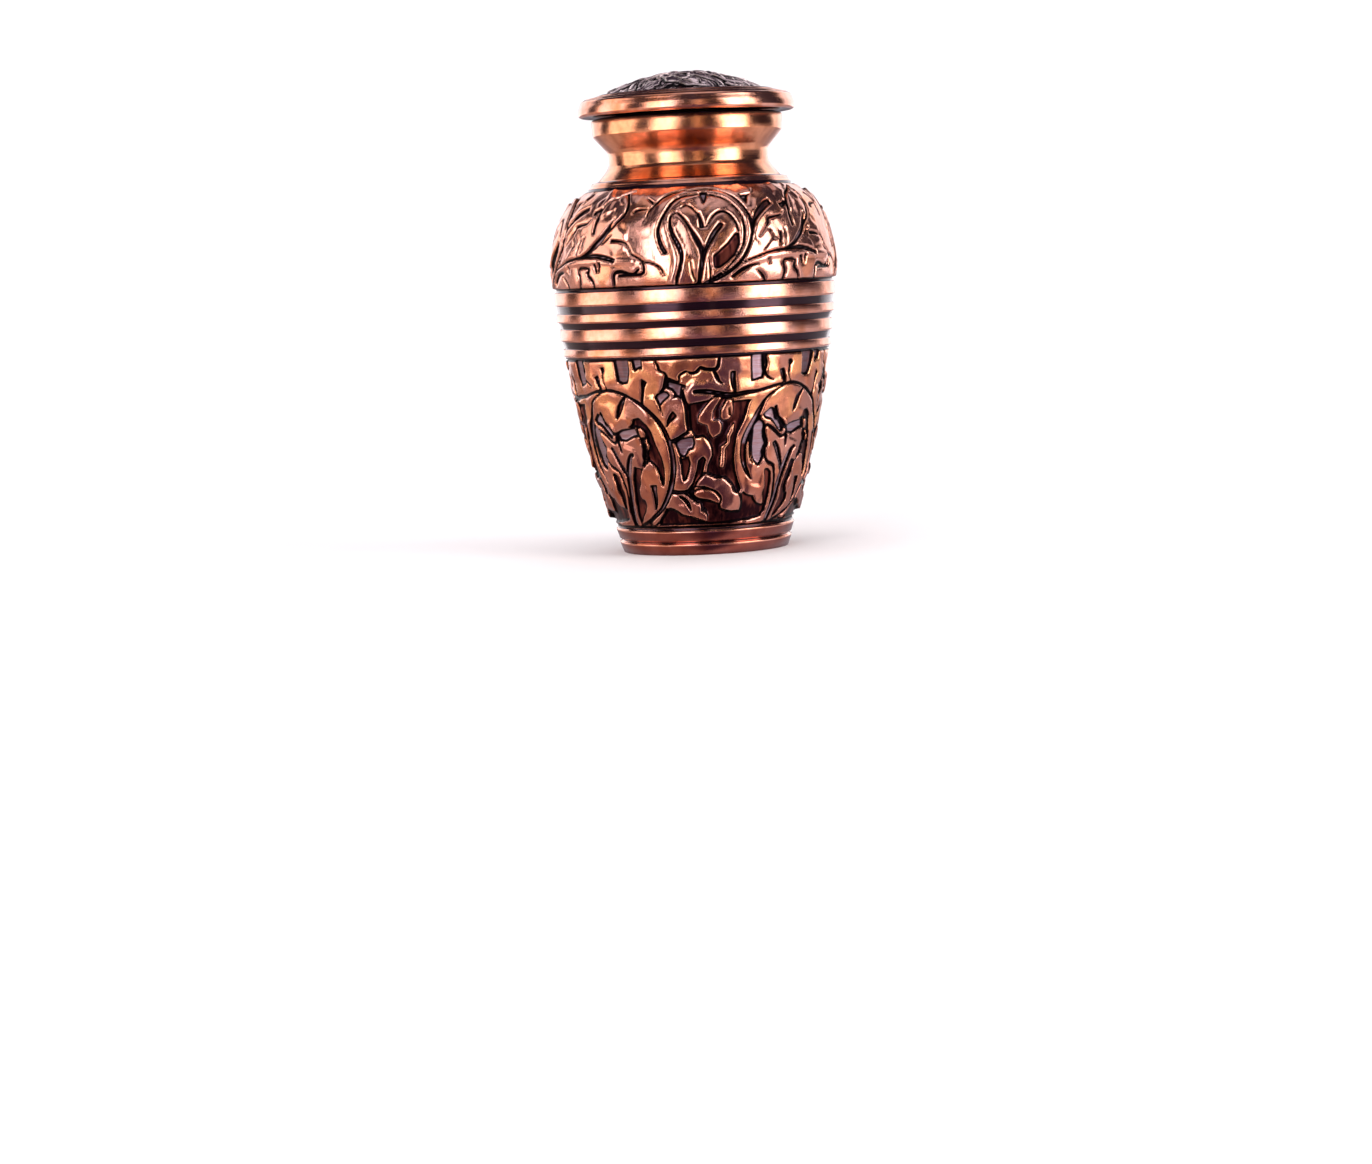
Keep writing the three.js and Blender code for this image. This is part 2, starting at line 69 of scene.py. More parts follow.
# The waist's bands: foot, top and radius
BANDS = [(33.45, 34.7, 22.55), (36.05, 38, 22.95), (39.15, 40.55, 23.4), (41.95, 44.15, 23.6)]
NECK = [
    (17, 61.1), (16.7, 61.3), (16.55, 61.6), (16.3, 62), (15.4, 62.2), (15.2, 62.35), (14.3, 63.4),
    (13.75, 64.1), (13.45, 64.7), (13.35, 65.4), (13.35, 66.3), (13.45, 66.9), (13.75, 67.4), (15.85, 69.8),
    (COLLAR_RADIUS, RIM_HEIGHT - 0.35),
]
COLLAR_EDGE = [(COLLAR_RADIUS - 0.2, RIM_HEIGHT - 0.15), (COLLAR_RADIUS - 0.6, RIM_HEIGHT)]
RIM_CHAMFER = 0.4
BORE_FOOT = 62.5
CHAMBER_SHOULDER = (15, SHOULDER_TOP - 1.6)
CHAMBER_WAIST = [(21.8, 43), (20.55, 34)]
CHAMBER_SHARES = np.array([0.75, 0.5, 0.25])
FLOOR = RECESS + WALL
CHAMBER_FLOOR = [(FOOT_RADIUS - WALL, FLOOR + 1.2), (FOOT_RADIUS - WALL - 1.4, FLOOR), (0, FLOOR)]
PLUG_RADIUS = NECK_BORE - 0.35
PLUG_BORE = 9.6
PLUG_FOOT = LID_SEAT - 6
PLUG_CHAMFER = 0.4
PLUG = [
    (PLUG_BORE, PLUG_FOOT), (PLUG_RADIUS - PLUG_CHAMFER, PLUG_FOOT),
    (PLUG_RADIUS, PLUG_FOOT + PLUG_CHAMFER), (PLUG_RADIUS, LID_SEAT),
]
CEILING = [(0, 78), (5, 77.8), (PLUG_BORE, 76)]
# How far in from the flange's edge the painted shadow under it ends
FLANGE_SHADOW_INSET = 0.7
FLANGE = [
    (FLANGE_RADIUS - 0.5, LID_SEAT), (FLANGE_RADIUS - 0.1, LID_SEAT + 0.2), (FLANGE_RADIUS, LID_SEAT + 0.6),
    (FLANGE_RADIUS - 0.1, 74.4), (FLANGE_RADIUS - 0.35, 75.05), (17.65, 75.5), (17.3, 75.72),
]
LID_RINGS = [
    (17.15, 75.6), (16.95, 75.95), (15.7, 76.2), (15.5, 76.0), (15.3, 76.32), (14.45, 76.6), (14.3, 76.35),
]
DOME_RIM = 14.1
DOME_SPHERE = 30.9
DOME_TOP = URN_HEIGHT - 0.1
EDGE_ROUND = 0.12
FLANGE_ROUND = 0.2
ROUND_STEPS = 3
ROUND_REACH = 0.45

# Carving levels, from the plain surface; TRENCH is the width of the dark line round each shape.
# A shape's wall rises from WALL_FOOT to WALL_TOP in the field, and a soft one's from there to SOFT_TOP.
FILL_LEVEL = -0.14
LEAF_LEVEL = -0.02
VINE_LEVEL = 0.12
GROUND_LEVEL = -0.58
CROWN = 0.05
CROWN_RUN = 0.7
TRENCH = 0.38
WALL_FOOT = -0.3
WALL_TOP = 0.08
SOFT_TOP = 0.1
TONE_FADE = 0.3
VINE_TONE = 0.6
FAR = 1.6
BORDER_LINE = 0.26

# Tool cuts: their size, how far a cut or a leaf tilts at most, and the softness of the creases between
FACET = 3.6
FACET_SHIFT = 0.4
CREASE = 0.22
MOST_TILT = 0.07
LEAF_TONES = (0.1, 0.9)
CORNER_CUT = 0.06

# Leaf outlines: where lobes and notches lie in their span, and the notches' and the tip's widths
LOBE_AT = 0.62
NOTCH_AT = 0.88
NOTCH_SHARE = 0.7
NOTCH_SPARE = 0.25
TIP_SPAN = 0.55
TIP_WIDTH = 0.45

# Round the urn, a quarter of the carving repeats
QUARTER = 90
DOME_TURN = -44
LOWER_MEAN_RADIUS = 20
UPPER_MEAN_RADIUS = 22.5

# Mesh fineness
CARVED_COLUMNS = 488
PLAIN_COLUMNS = 120
LOWER_ROWS = 104
UPPER_ROWS = 66
DOME_COLUMNS = 400
DOME_RINGS = 72

# Camera of the photograph: its height, distance and turn, all about the urn's axis
CAMERA_DISTANCE = 525
CAMERA_HEIGHT = 48
CAMERA_LEFT = 3.74
CAMERA_PITCH = 5.85
CAMERA_ROLL = -2.7
LENS = 81.34
SENSOR = 36

# Carving on the friezes, in degrees from the front and millimetres up the frieze.
# A leaf is its midrib, its stalk's width and its lobes' half widths to the left and to the right; a cut
# along the midrib follows for some: the shares where it starts and ends, and its widths there.
# A vine is a stem laid over the leaves: a path, and the widths along it.
# A ground is a low place between leaves: its tone from 0, nearly black, to 1, mauve, and its outline.
# A plate is a leaf's outline laid over the ground. A line is cut last: a path, and the widths along it.
UPPER_LEAVES = [
    ([(5.5, 16), (5, 13.8), (4, 11.9)], 2.8, [2.4], [2.5]),
    ([(2.5, 4.2), (-2.5, 8), (-5.5, 12.8)], 1, [1.7, 1.8], [1.2, 1.2]),
    ([(4.5, 4.2), (11, 6.8), (15.5, 12.8)], 1, [1.3, 1.3], [1.7, 1.8]),
    ([(4, 15.8), (-8, 14.6), (-15.5, 10.6), (-15, 6.6), (-8, 1.2)], 1, [1.3, 1.2, 1.4, 1.3],
     [1.2, 1.1, 0.9, 1]),
    ([(25.5, 9.2), (32, 11.8), (38.5, 15.8)], 1.4, [2.2, 2.1], [1.9, 2]),
    ([(46, 9.4), (47.5, 13), (46, 18.6)], 1.4, [2.1, 2], [1.9, 2]),
    ([(29, 4.4), (42, 7.3), (54.5, 13.6)], 1, [1.5, 1.9, 1.7], [1.2, 1.9, 1.8]),
    ([(60, 6), (57.5, 9.2), (56, 12)], 1.6, [1.5], [1.6]),
    ([(24.5, 15), (25, 20)], 2.8, [2.7], [2.6]),
    ([(60.5, 14.4), (59.5, 20)], 2.8, [2.6], [2.7]),
]
UPPER_VINES = [
    ([(3.5, 0), (17, 2.9), (23, 7.8), (22.8, 11.1), (17, 14.9), (10, 16), (2, 15.9), (-6, 15.2)],
     [1, 1.2, 1.3, 1.2, 1]),
    ([(19, 2.8), (27, 3.9), (38, 4.6), (57, 4.4), (66, 4.2)], [1.1, 1, 0.9, 0.7]),
    ([(-8.2, 0.2), (-6, 3.4), (-6.8, 6.4), (-10, 10.4)], [1.8, 1.6, 1.6, 1]),
]
LOWER_GROUNDS = [
    (0.4, [(-39.3, 29.3), (-38.8, 27.5), (-38.6, 25.4), (-36, 25), (-33, 25.2), (-32.2, 26), (-31.3, 27.2),
     (-31, 29.3)]),
    (0.5, [(-29.9, 29.3), (-29.5, 27.6), (-28.7, 27), (-26.5, 27.6), (-24.9, 27.4), (-24.7, 29.3)]),
    (0.0, [(-26, 26), (-23.3, 25.3), (-24.8, 24.5), (-26, 22.6), (-26.8, 21.2), (-27.9, 21.7), (-27, 23.5),
     (-26.6, 25)]),
    (0.0, [(-48, 28), (-45.5, 28), (-45, 27.3), (-46.3, 27), (-46.5, 25.6), (-45, 24.2), (-46, 24.2),
     (-47.6, 25.8), (-47.3, 27.2)]),
    # Inside the arch
    (0.9, [(-45, 16.9), (-41, 17.4), (-33, 17.8), (-32.3, 16.8), (-31, 16.1), (-34.5, 16), (-37.5, 15.6),
     (-40, 15.2), (-43.5, 15.4), (-44.7, 16.2)]),
    (0.1, [(-36.5, 17.9), (-34.5, 18.3), (-33.5, 19.2), (-30, 19.4), (-28.5, 18.9), (-26.5, 18.1), (-25, 17),
     (-23, 14.6), (-21, 12.4), (-20.4, 10.3), (-21, 8.3), (-22.2, 7.3), (-23.2, 7.8), (-24, 9.3),
     (-25, 10.6), (-26.6, 11.3), (-28.8, 12), (-29.3, 13), (-28.7, 14), (-27.2, 14.8), (-27.5, 16),
     (-28.4, 17), (-31, 17.6)]),
    (0.2, [(-38, 11), (-36.5, 10.9), (-33.5, 10.6), (-32, 10.9), (-34, 10), (-35.3, 9), (-36, 8), (-37.8, 7),
     (-38.2, 6), (-37, 5.2), (-35.5, 5), (-35.3, 4), (-37, 3), (-40, 2), (-42.5, 1), (-44.5, 0.6),
     (-44.5, 2), (-43, 4), (-42, 6.5), (-40.3, 9)]),
    (0.8, [(24.8, 15.9), (25, 17.2), (27, 18), (28.5, 18.4), (31, 17.8), (31.8, 17.2), (31.4, 16),
     (31.8, 15.2), (33.3, 14), (32.4, 13.3), (31.8, 12.6), (32.4, 11.8), (31.5, 10.8), (29.5, 10.2),
     (26.5, 11), (25.2, 12), (24.6, 14)]),
    # Painted reflection: this pale mauve patch stands in for a pale grey highlight
    (1.0, [(29.6, 19), (31.5, 19.5), (34, 20.2), (36, 20), (37, 19.2), (38, 18.2), (39.7, 18), (41.5, 17.2),
     (42.6, 16.3), (42, 15.7), (40.5, 15.8), (38.5, 16.5), (36.5, 17.3), (34.5, 18), (31.5, 18.3)]),
    (0.1, [(33.8, 9.8), (36.5, 9.6), (38.5, 9), (38.9, 7.5), (39.2, 5), (38.5, 3.5), (37.5, 2.5), (36, 2.6),
     (35.3, 4), (35, 5.5), (34.6, 7.5), (33.6, 9.2)]),
    # Between the arches
    (0.5, [(-21, 22.8), (-19.8, 23.3), (-16.5, 23.8), (-14.3, 23.6), (-13.2, 22.9), (-14.8, 22.4),
     (-16.5, 21.9), (-18.2, 21.3), (-17.3, 19.4), (-18, 19.6), (-19.2, 21), (-20.3, 22.2)]),
    (0.4, [(-14.8, 25.7), (-13, 25.4), (-9.3, 25), (-6, 24.6), (-5.9, 24), (-7.6, 24.2), (-8.6, 22.3),
     (-10.5, 22.7), (-12.8, 22.3), (-11.5, 23.2), (-13, 23.9), (-14.9, 24.2)]),
    (0.2, [(-17, 17.4), (-16.4, 18.7), (-14.5, 19.8), (-13, 20.5), (-10.8, 19.4), (-12.5, 19), (-14.5, 18.4),
     (-16, 17.7)]),
    (0.9, [(-14, 14.9), (-11, 15.6), (-7, 15.9), (-4.2, 16), (-3.5, 15.3), (-3.5, 14.5), (-4.5, 13.7),
     (-6.5, 13.6), (-7.8, 12.7), (-9.5, 12.3), (-12, 12.7), (-12.8, 13.8)]),
    (0.0, [(-12.3, 12.6), (-9.8, 12.2), (-7, 12.7), (-6.4, 11.2), (-7.5, 9.8), (-9, 8.6), (-11, 8.2),
     (-11.7, 9.5), (-11.6, 11)]),
    (0.0, [(1.6, 11.9), (0, 12.5), (-2.5, 11.8), (-4, 9.8), (-6, 8), (-9, 6.9), (-6, 6.8), (-3, 7.5),
     (-1, 8.9), (0.3, 10.4)]),
    (0.15, [(-5.6, 21.5), (-1, 21.7), (3, 21.9), (9, 22.4), (12, 22.2), (14, 21.6), (23.7, 21.7),
     (22.4, 20.8), (21.2, 18.9), (19, 17.2), (17.2, 15.8), (16.2, 13.8), (15.8, 11.8), (16.6, 9.8),
     (18.4, 8), (20.6, 6.4), (19.5, 5.8), (17, 6), (15.8, 7), (14.6, 7.6), (12, 8.4), (5, 8.9), (1.4, 9.6),
     (2.2, 11), (4.6, 12.6), (4.4, 13.8), (3, 15), (0.5, 15.8), (-3.3, 15.6), (-4.2, 16.3), (-5.5, 17.2)]),
    (0.8, [(22.7, 29.3), (22.9, 26.8), (23.4, 24.6), (25, 24.7), (29.3, 25.1), (29.8, 26), (29.3, 27),
     (28.9, 29.3)]),
    # Along the foot
    (0.1, [(-30, 0.3), (-28, 1.5), (-25, 2.4), (-22.5, 3.3), (-19.5, 3.4), (-17, 3), (-14.5, 2.2), (-10, 2),
     (-5, 1.3), (0.5, 1), (0, 3), (-2.6, 3.4), (-3, 5), (3, 4.6), (8, 4.2), (8.5, 3.2), (13, 2.6),
     (20.5, 2.4), (21.2, 3.3), (21.2, 4.5), (20.6, 5.6), (22, 6), (24.5, 5.4), (28.3, 5.1), (29.5, 4.4),
     (31.5, 3.7), (34.5, 3.4), (37.5, 3.4), (37.8, 2.2), (35.5, 1.2), (24, 0.7), (10, 0.3), (-10, 0.3)]),
]
LOWER_PLATES = [
    [(-31.6, 17.4), (-30, 17.7), (-28.6, 17), (-28, 15.6), (-26.4, 14.4), (-28.4, 13.4), (-29, 12.2),
     (-30.2, 11.6), (-30.8, 12.6), (-29.6, 14), (-30.4, 15.6)],
    [(-1.7, 18.4), (-0.8, 19.5), (3, 21.3), (6.5, 22.3), (9.3, 22.3), (7.5, 21.3), (5.4, 20.1), (4.9, 18.6),
     (8.2, 18.5), (9.2, 17.8), (9.4, 17.1), (8.7, 16.3), (5, 15.5), (3.4, 16.5), (2.6, 17.8), (0.6, 18)],
    [(9.2, 20.2), (12, 22), (14, 21.8), (14.7, 20.5), (14.2, 19.3), (12.6, 18.6), (10, 18.5), (9, 19)],
    [(15.4, 17.9), (13.5, 17), (11.8, 15.8), (12.3, 14.6), (9, 14), (8.8, 12.5), (8, 10.6), (10, 10.4),
     (10.8, 11.5), (11, 13.6), (13.4, 14.6), (13.6, 15.6), (15.2, 16.6)],
    [(-26.8, 2.9), (-24.5, 3.9), (-20, 6), (-17, 6.1), (-14.5, 5.9), (-10.5, 5.9), (-8.5, 5.2), (-6.5, 4.7),
     (-3, 4.4), (-2.2, 3.5), (-2.8, 2.9), (-0.5, 2.7), (1, 2.2), (0.8, 1.2), (-3, 1.6), (-8, 2.1),
     (-13, 2.4), (-16, 3.2), (-20, 3.7), (-23, 3.6), (-25.5, 2.6), (-29.5, 1.2), (-33, 0.5), (-37, 0.6),
     (-31, 1.8)],
    [(-4.5, 7.5), (-3, 8.3), (0.5, 9.4), (3.5, 8.9), (6, 8.5), (10, 8.5), (12, 8), (14.8, 7.1), (15.7, 6),
     (16.5, 5.9), (19, 5.6), (20.3, 4.8), (20.7, 3.8), (20.2, 2.7), (14, 2.8), (9, 3.4), (8.6, 4.2),
     (9.5, 4.8), (9.2, 5.5), (7, 6.3), (5.5, 6.6), (3, 7), (0, 7.4), (-2.5, 7.4)],
    [(-6, 6), (-4, 6.5), (0, 6.7), (3, 6.5), (5.8, 6), (8.4, 5), (8, 4.3), (5, 4.6), (2, 5), (-1, 5.1),
     (-3.5, 5.3), (-5, 5.6)],
]
LOWER_LINES = [
    # The arch's stem, and the one that starts beside it
    ([(-50, 23.8), (-45, 24.1), (-40, 23.8), (-35.5, 23.2), (-31, 22.3), (-27, 21.3), (-24, 20.2),
     (-21, 18.9), (-18.5, 17.4), (-16.7, 15.6), (-15.6, 13.5), (-15.3, 11.5), (-16, 9.5), (-17.8, 7.5),
     (-20, 6), (-23, 4.5), (-26.5, 3.2), (-31, 2.2), (-36, 1.2), (-41, 0.6), (-45, 0.2)],
     [0.5, 0.5, 0.6, 0.8, 1, 1.1, 1.1, 0.9, 0.7, 0.5]),
    ([(-3.3, 23.5), (2, 23.4), (8, 23), (12, 22.7), (16, 22.6), (21, 22.9), (26, 23), (31, 23.4), (36, 23.8),
     (40, 24)], [0.6, 0.9, 0.8, 0.9, 0.7, 0.5, 0.5, 0.5]),
    ([(40, 23.6), (36, 23), (31.5, 21.9), (29.3, 20.6), (26.8, 18.9), (23.5, 16.8), (21, 14.5), (20.6, 12.4),
     (21.6, 10.6), (23.6, 9.2), (26, 8)], [0.3, 0.4, 0.5, 0.9, 1.2, 1.3, 1.3, 1.2, 1.1, 0.8, 0.3]),
    ([(29, 18.8), (26.3, 17.6), (24.5, 16), (23.9, 14), (24.3, 12.2), (25.8, 10.8)],
     [0.5, 0.45, 0.45, 0.4, 0.3]),
    # Inside the arch
    ([(-35.6, 23), (-37, 22.4), (-39, 21.5), (-40.5, 20.5), (-42.5, 19.1)], [0.4, 0.8, 1.1, 0.9, 0.3]),
    ([(-45.2, 16.9), (-44.7, 15.2), (-44.3, 13.2)], [0.5, 0.7, 0.3]),
    ([(36.5, 20.4), (37.6, 19.2), (38.6, 18.4), (41, 17.6), (43, 16.8), (45, 16.6)],
     [0.6, 0.6, 0.8, 0.8, 0.6]),
    ([(-36.3, 13.1), (-38.6, 12.9), (-41, 11.4), (-43.2, 9.3), (-44.9, 6.6), (-46.4, 3.8), (-48.5, 1.2),
     (-49.5, 0.2)], [0.5, 1.1, 1.3, 1.2, 1.2, 1.2, 1.1, 1]),
    ([(38, 14.2), (40, 13.3), (42, 11.9), (44.5, 10.1), (46.5, 8.6)], [0.8, 1, 0.9, 0.9, 0.8]),
    ([(31.8, 17.3), (31.6, 15.9), (33.6, 14.1), (32.5, 13.2), (32.8, 12), (35, 10.9), (38, 10.4), (39.6, 10),
     (41.1, 8.3), (41.8, 6.4), (41.5, 4.4), (40.5, 2.2), (39.6, 0.2)],
     [0.4, 0.5, 0.6, 0.5, 0.6, 0.5, 0.5, 0.6, 0.6, 0.5]),
    ([(31.8, 17.3), (35, 16.8), (38.5, 15.9), (41, 15.2), (43, 15.1), (45, 15.7)], [0.5, 0.6, 0.5, 0.5]),
    ([(-29.9, 16), (-29.3, 14.9), (-28.8, 14), (-29.6, 12.9), (-31, 11.8), (-32.5, 10.9)],
     [0.8, 0.9, 0.8, 0.7, 0.7]),
    ([(-28.4, 7.7), (-28.4, 6.2), (-28.6, 4.6), (-29.9, 3.2)], [1.5, 1, 0.8, 0.3]),
    # The row of leaves along the top
    ([(-18.9, 29), (-17.8, 28), (-17.3, 27.2), (-15, 26.7), (-14.5, 26.1), (-15.3, 25.1), (-16, 24.2),
     (-18, 23.5)], [0.3, 0.5, 0.4, 0.6, 0.6, 0.5]),
    ([(-14.5, 25.9), (-9.2, 25.2), (-8.7, 26.2), (-5.2, 26.9), (-4.6, 26.6), (-1.5, 26.6), (0.6, 27.4),
     (2.5, 27.1), (6, 27), (8, 27.3), (8.9, 29.2)], [0.5, 0.4, 0.5, 0.6, 0.6, 0.5]),
    ([(5.8, 27), (7, 26.2), (8.5, 25), (10.4, 24.6)], [0.5, 0.7, 0.3]),
    ([(14.7, 26.6), (14.9, 24.8), (15.9, 22.7)], [0.9, 0.9, 0.4]),
    ([(29.6, 29.2), (30.3, 27.2), (29.6, 26.4), (31, 25.4), (34.5, 24.7)], [0.5, 0.6, 0.5, 0.3]),
    ([(38.7, 26.5), (39.8, 25.3), (40.9, 24.1)], [1, 0.9, 0.6]),
    # Between the arches, and along the foot
    ([(-7.7, 24), (-7.5, 22.5), (-6.3, 20.5), (-6.2, 18.5), (-5.9, 16.9)], [0.4, 0.7, 0.9, 0.9, 0.8]),
    ([(-16.5, 15), (-14.5, 15.2), (-11, 15.8), (-8, 16.4), (-6, 16.8)], [0.8, 0.6, 0.6, 0.6]),
    ([(12.8, 20.7), (13.2, 19.2)], [0.3, 0.4]),
    ([(-14.5, 5.7), (-11.5, 5.1), (-9.5, 4.2), (-8.2, 3)], [0.4, 0.8, 0.8, 0.3]),
    ([(-18, 6.5), (-14, 6.4), (-10, 6.4), (-7, 6.6), (-5.5, 6.9)], [0.8, 0.6, 0.7, 0.8]),
    ([(-8.6, 6.3), (-7, 5.6), (-5, 4.9), (-3.5, 4.4)], [0.6, 0.8, 0.7, 0.4]),
]
UPPER_GROUNDS = [
    (0.1, [(22.5, 15.3), (30.9, 15.7), (26.9, 15), (25, 13.2)]),
    (0.2, [(3.6, 16.4), (8.2, 16.4), (6.8, 14.6), (5.2, 13.2)]),
    (0.0, [(16.7, 8.1), (19.1, 8.4), (19.1, 6.5), (16.7, 4.6), (13.2, 3.3), (9.3, 2.3), (7.3, 2.7),
     (7.3, 4.6), (9.8, 5.4), (13.2, 6.5)]),
]
UPPER_LINES = [
    # The loop: its outer line, then the inner one, and the line within its pale left arm
    ([(-19.8, 10.6), (-18.6, 12.7), (-15.7, 14.2), (-12.7, 15.6), (-8, 16.6), (-2, 17.1)], [0.3, 0.6, 0.4]),
    ([(-2, 16.7), (4, 17.2), (11, 17), (16.5, 16), (20.5, 14.5), (23.5, 12.3), (24.8, 10), (24.2, 7.6),
     (22, 5.6), (18.6, 3.6), (14, 2), (9, 0.9), (3.4, 0.1)], [0.5, 0.7, 0.7, 0.6, 0.7, 0.8]),
    ([(-10.8, 5.2), (-12.7, 6.5), (-14.2, 8.8), (-13.2, 10.7), (-10.8, 12.7), (-8.3, 14.2), (-4.4, 15.2),
     (1, 15.6), (7, 15.6), (13.2, 15), (17, 13.8), (20.2, 11.9), (21.5, 9.6), (20.5, 6.8), (17.6, 4.6),
     (14.2, 3.1), (10.3, 1.7), (6.4, 0.9)], [0.9, 0.6, 0.6, 0.5, 0.4, 0.5, 0.5, 0.4]),
    # Leaves inside it, and their forked stem
    ([(-6.4, 12.3), (-8.8, 11.7), (-9.3, 10.4), (-8.3, 8.5), (-5.9, 6.5), (-4.9, 5), (-5.4, 3.1),
     (-6.9, 1.2), (-7.3, 0.2)], [0.4, 0.7, 0.9, 0.6, 0.6]),
    ([(-6.4, 12.3), (-3.4, 10.9), (-0.5, 8.9), (2, 7.3), (3.6, 5.8)], [0.5, 0.6, 0.5]),
    ([(-1.3, 9.2), (0.5, 7.7), (2.7, 6), (3.3, 4.6), (2.8, 3), (2, 1.2), (1.4, 0.1)], [0.4, 0.8, 0.8, 0.8]),
    ([(12.3, 10), (8.8, 8.4), (6.4, 6.9), (4.6, 5.4), (3.6, 3.6)], [0.9, 0.9, 0.7, 0.5]),
    ([(5.2, 9.2), (9.3, 11.5), (13.2, 12.1), (16.2, 11.3), (18.2, 9.8), (18.8, 8.4)], [0.4, 0.6, 0.5]),
    ([(3.9, 9.2), (3.4, 10.6), (2.8, 12)], [0.9, 0.7, 0.4]),
    ([(-4.9, 13), (-2, 13.6), (1.5, 12.3), (2.9, 10.9)], [0.4, 0.5, 0.4]),
    ([(0.6, 0.1), (-1, 2), (-1.5, 4)], [0.4, 0.5, 0.3]),
    ([(6, 0.6), (6.2, 2.4), (5.6, 4.4)], [0.4, 0.5, 0.3]),
    # The branch under the big leaves, and their slits
    ([(18.6, 3.1), (22, 3.7), (26, 4.2), (30.9, 4.8), (38.7, 5.2), (45.6, 5.4), (51.4, 5.1), (57.5, 4.4)],
     [0.4, 0.5, 0.5, 0.6, 0.9, 0.8]),
    ([(14.5, 0.9), (18, 1.9), (22, 2.7), (26, 3)], [0.7, 0.7, 0.4]),
    ([(37.7, 13.8), (33.8, 13.1), (28.9, 11.5), (26, 10), (25, 8.1)], [1.3, 1.4, 1.1, 0.7, 0.4]),
    ([(38.7, 5.2), (43.6, 6), (47.5, 7.3), (51.4, 8.8), (55.4, 11.7)], [0.4, 0.8, 1.1, 0.8, 0.3]),
    ([(50.5, 7.3), (53, 8), (55.4, 8.9)], [0.3, 0.4, 0.3]),
    ([(36.5, 5.6), (38.2, 8.3)], [0.4, 0.6]),
    ([(39.2, 5.9), (40.1, 8.6)], [0.3, 0.5]),
    ([(27, 7.3), (30.9, 8.8), (32.8, 9.8), (33.4, 10.5), (38.7, 10.9), (40.5, 11.1), (42.1, 11.9)],
     [0.3, 0.4, 0.6, 0.5, 0.4]),
    ([(32.3, 8.8), (33.6, 8), (34.3, 6.7)], [0.5, 0.3]),
    ([(61.2, 17.5), (56.3, 16.5), (50.5, 15.3), (47.5, 13.8), (45.6, 10.9), (45.6, 8.9)],
     [0.4, 0.6, 0.6, 0.7, 0.6]),
    ([(41.8, 12.8), (44.5, 13.1), (46.4, 13.8)], [1.2, 1, 0.6]),
    ([(-32.3, 16.9), (-29.9, 15), (-29.4, 13.2), (-30.9, 11.7), (-34.8, 10), (-39.2, 8.5)], [0.5, 0.7, 0.4]),
    ([(-35.3, 7.8), (-28.9, 7.5), (-26.4, 6.5), (-25, 5.4), (-21.1, 4.4), (-20.1, 3.1), (-21.1, 2.1),
     (-28.9, 2), (-31.8, 1.9)], [0.7, 0.4, 0.5, 0.6, 0.5]),
    ([(-20.6, 4.2), (-16.2, 3.7), (-13.2, 2.9), (-11.8, 1.6)], [0.4, 0.5, 0.4]),
    ([(-26, 12.3), (-24, 13), (-19.1, 13.1)], [0.5, 0.6, 0.3]),
    ([(-20.6, 15.5), (-17.1, 14.2)], [0.4, 0.6]),
    # Notches between the small leaves along the foot
    ([(25, 2.1), (27.4, 1.2), (28.9, 0.2)], [0.4, 0.6, 0.6]),
    ([(30.4, 4), (30.9, 2.7)], [0.5, 0.4]),
    ([(37.2, 0.2), (38.2, 1.6), (37.7, 3.3), (43.6, 3.4), (43.1, 2.3), (45.1, 1.4), (46, 0.2)],
     [0.5, 0.6, 0.5, 0.7, 0.5]),
    ([(47, 4.2), (48.2, 2.5)], [0.7, 0.5]),
    ([(50, 4.4), (49, 2.5)], [0.6, 0.4]),
    ([(56.3, 0.2), (56.8, 2.3), (60.2, 2.6), (65.1, 2.1), (68.1, 3.1)], [0.5, 0.7, 0.5]),
]
# Carving on the dome, in degrees round it and millimetres from its middle
DOME_GROUNDS = [
    (0.0, [(25, 13.6), (33, 13.7), (33.5, 12.9), (37, 13.2), (38, 13.7), (46, 13.7), (52, 13.5), (48, 12.6),
     (44, 12.7), (41, 11.4), (36, 11.9), (34, 10.8), (29, 11.2), (28, 12.4)]),
    (0.1, [(73.5, 13.7), (79.5, 13.7), (79, 12.4), (80.5, 11.2), (77, 10.2), (75.5, 11.6), (75.5, 12.8)]),
    (0.0, [(1.5, 9.6), (8, 9.2), (11, 7.6), (6, 7.2), (2, 6), (-1, 7.4)]),
    (0.0, [(56, 7.4), (61, 6.8), (66, 6.6), (62, 5.2), (56, 4.6), (54, 5.8)]),
]
DOME_LEAVES = [
    ([(62, 2.6), (76, 6.2), (96, 9.4)], 1, [1.5, 1.6, 1.2], [1.5, 1.7, 1.3], (0.15, 0.85, 0.5, 0.25)),
    ([(84, 13.6), (87, 11.6), (92, 9.8)], 2.6, [2, 1.4], [2, 1.5], (0.1, 0.7, 0.5, 0.3)),
    ([(12, 13.7), (14, 11.4), (20, 9)], 2.4, [1.7, 1.3], [1.8, 1.4], (0.1, 0.7, 0.5, 0.3)),
    ([(6, 1.2), (16, 5.6), (42, 10), (60, 13.5)], 1.2, [1.8, 2.5, 2.4, 1.6], [1.6, 2.3, 2.2, 1.6],
     (0.08, 0.9, 0.6, 0.3)),
]
DOME_VINES = [
    ([(4, 13.8), (-6, 10.6), (-4, 6.6), (24, 3), (80, 1.6)], [1.1, 1, 0.8]),
    ([(70, 13.8), (72, 11), (62, 8.2), (52, 5)], [0.9, 0.8, 0.6]),
]
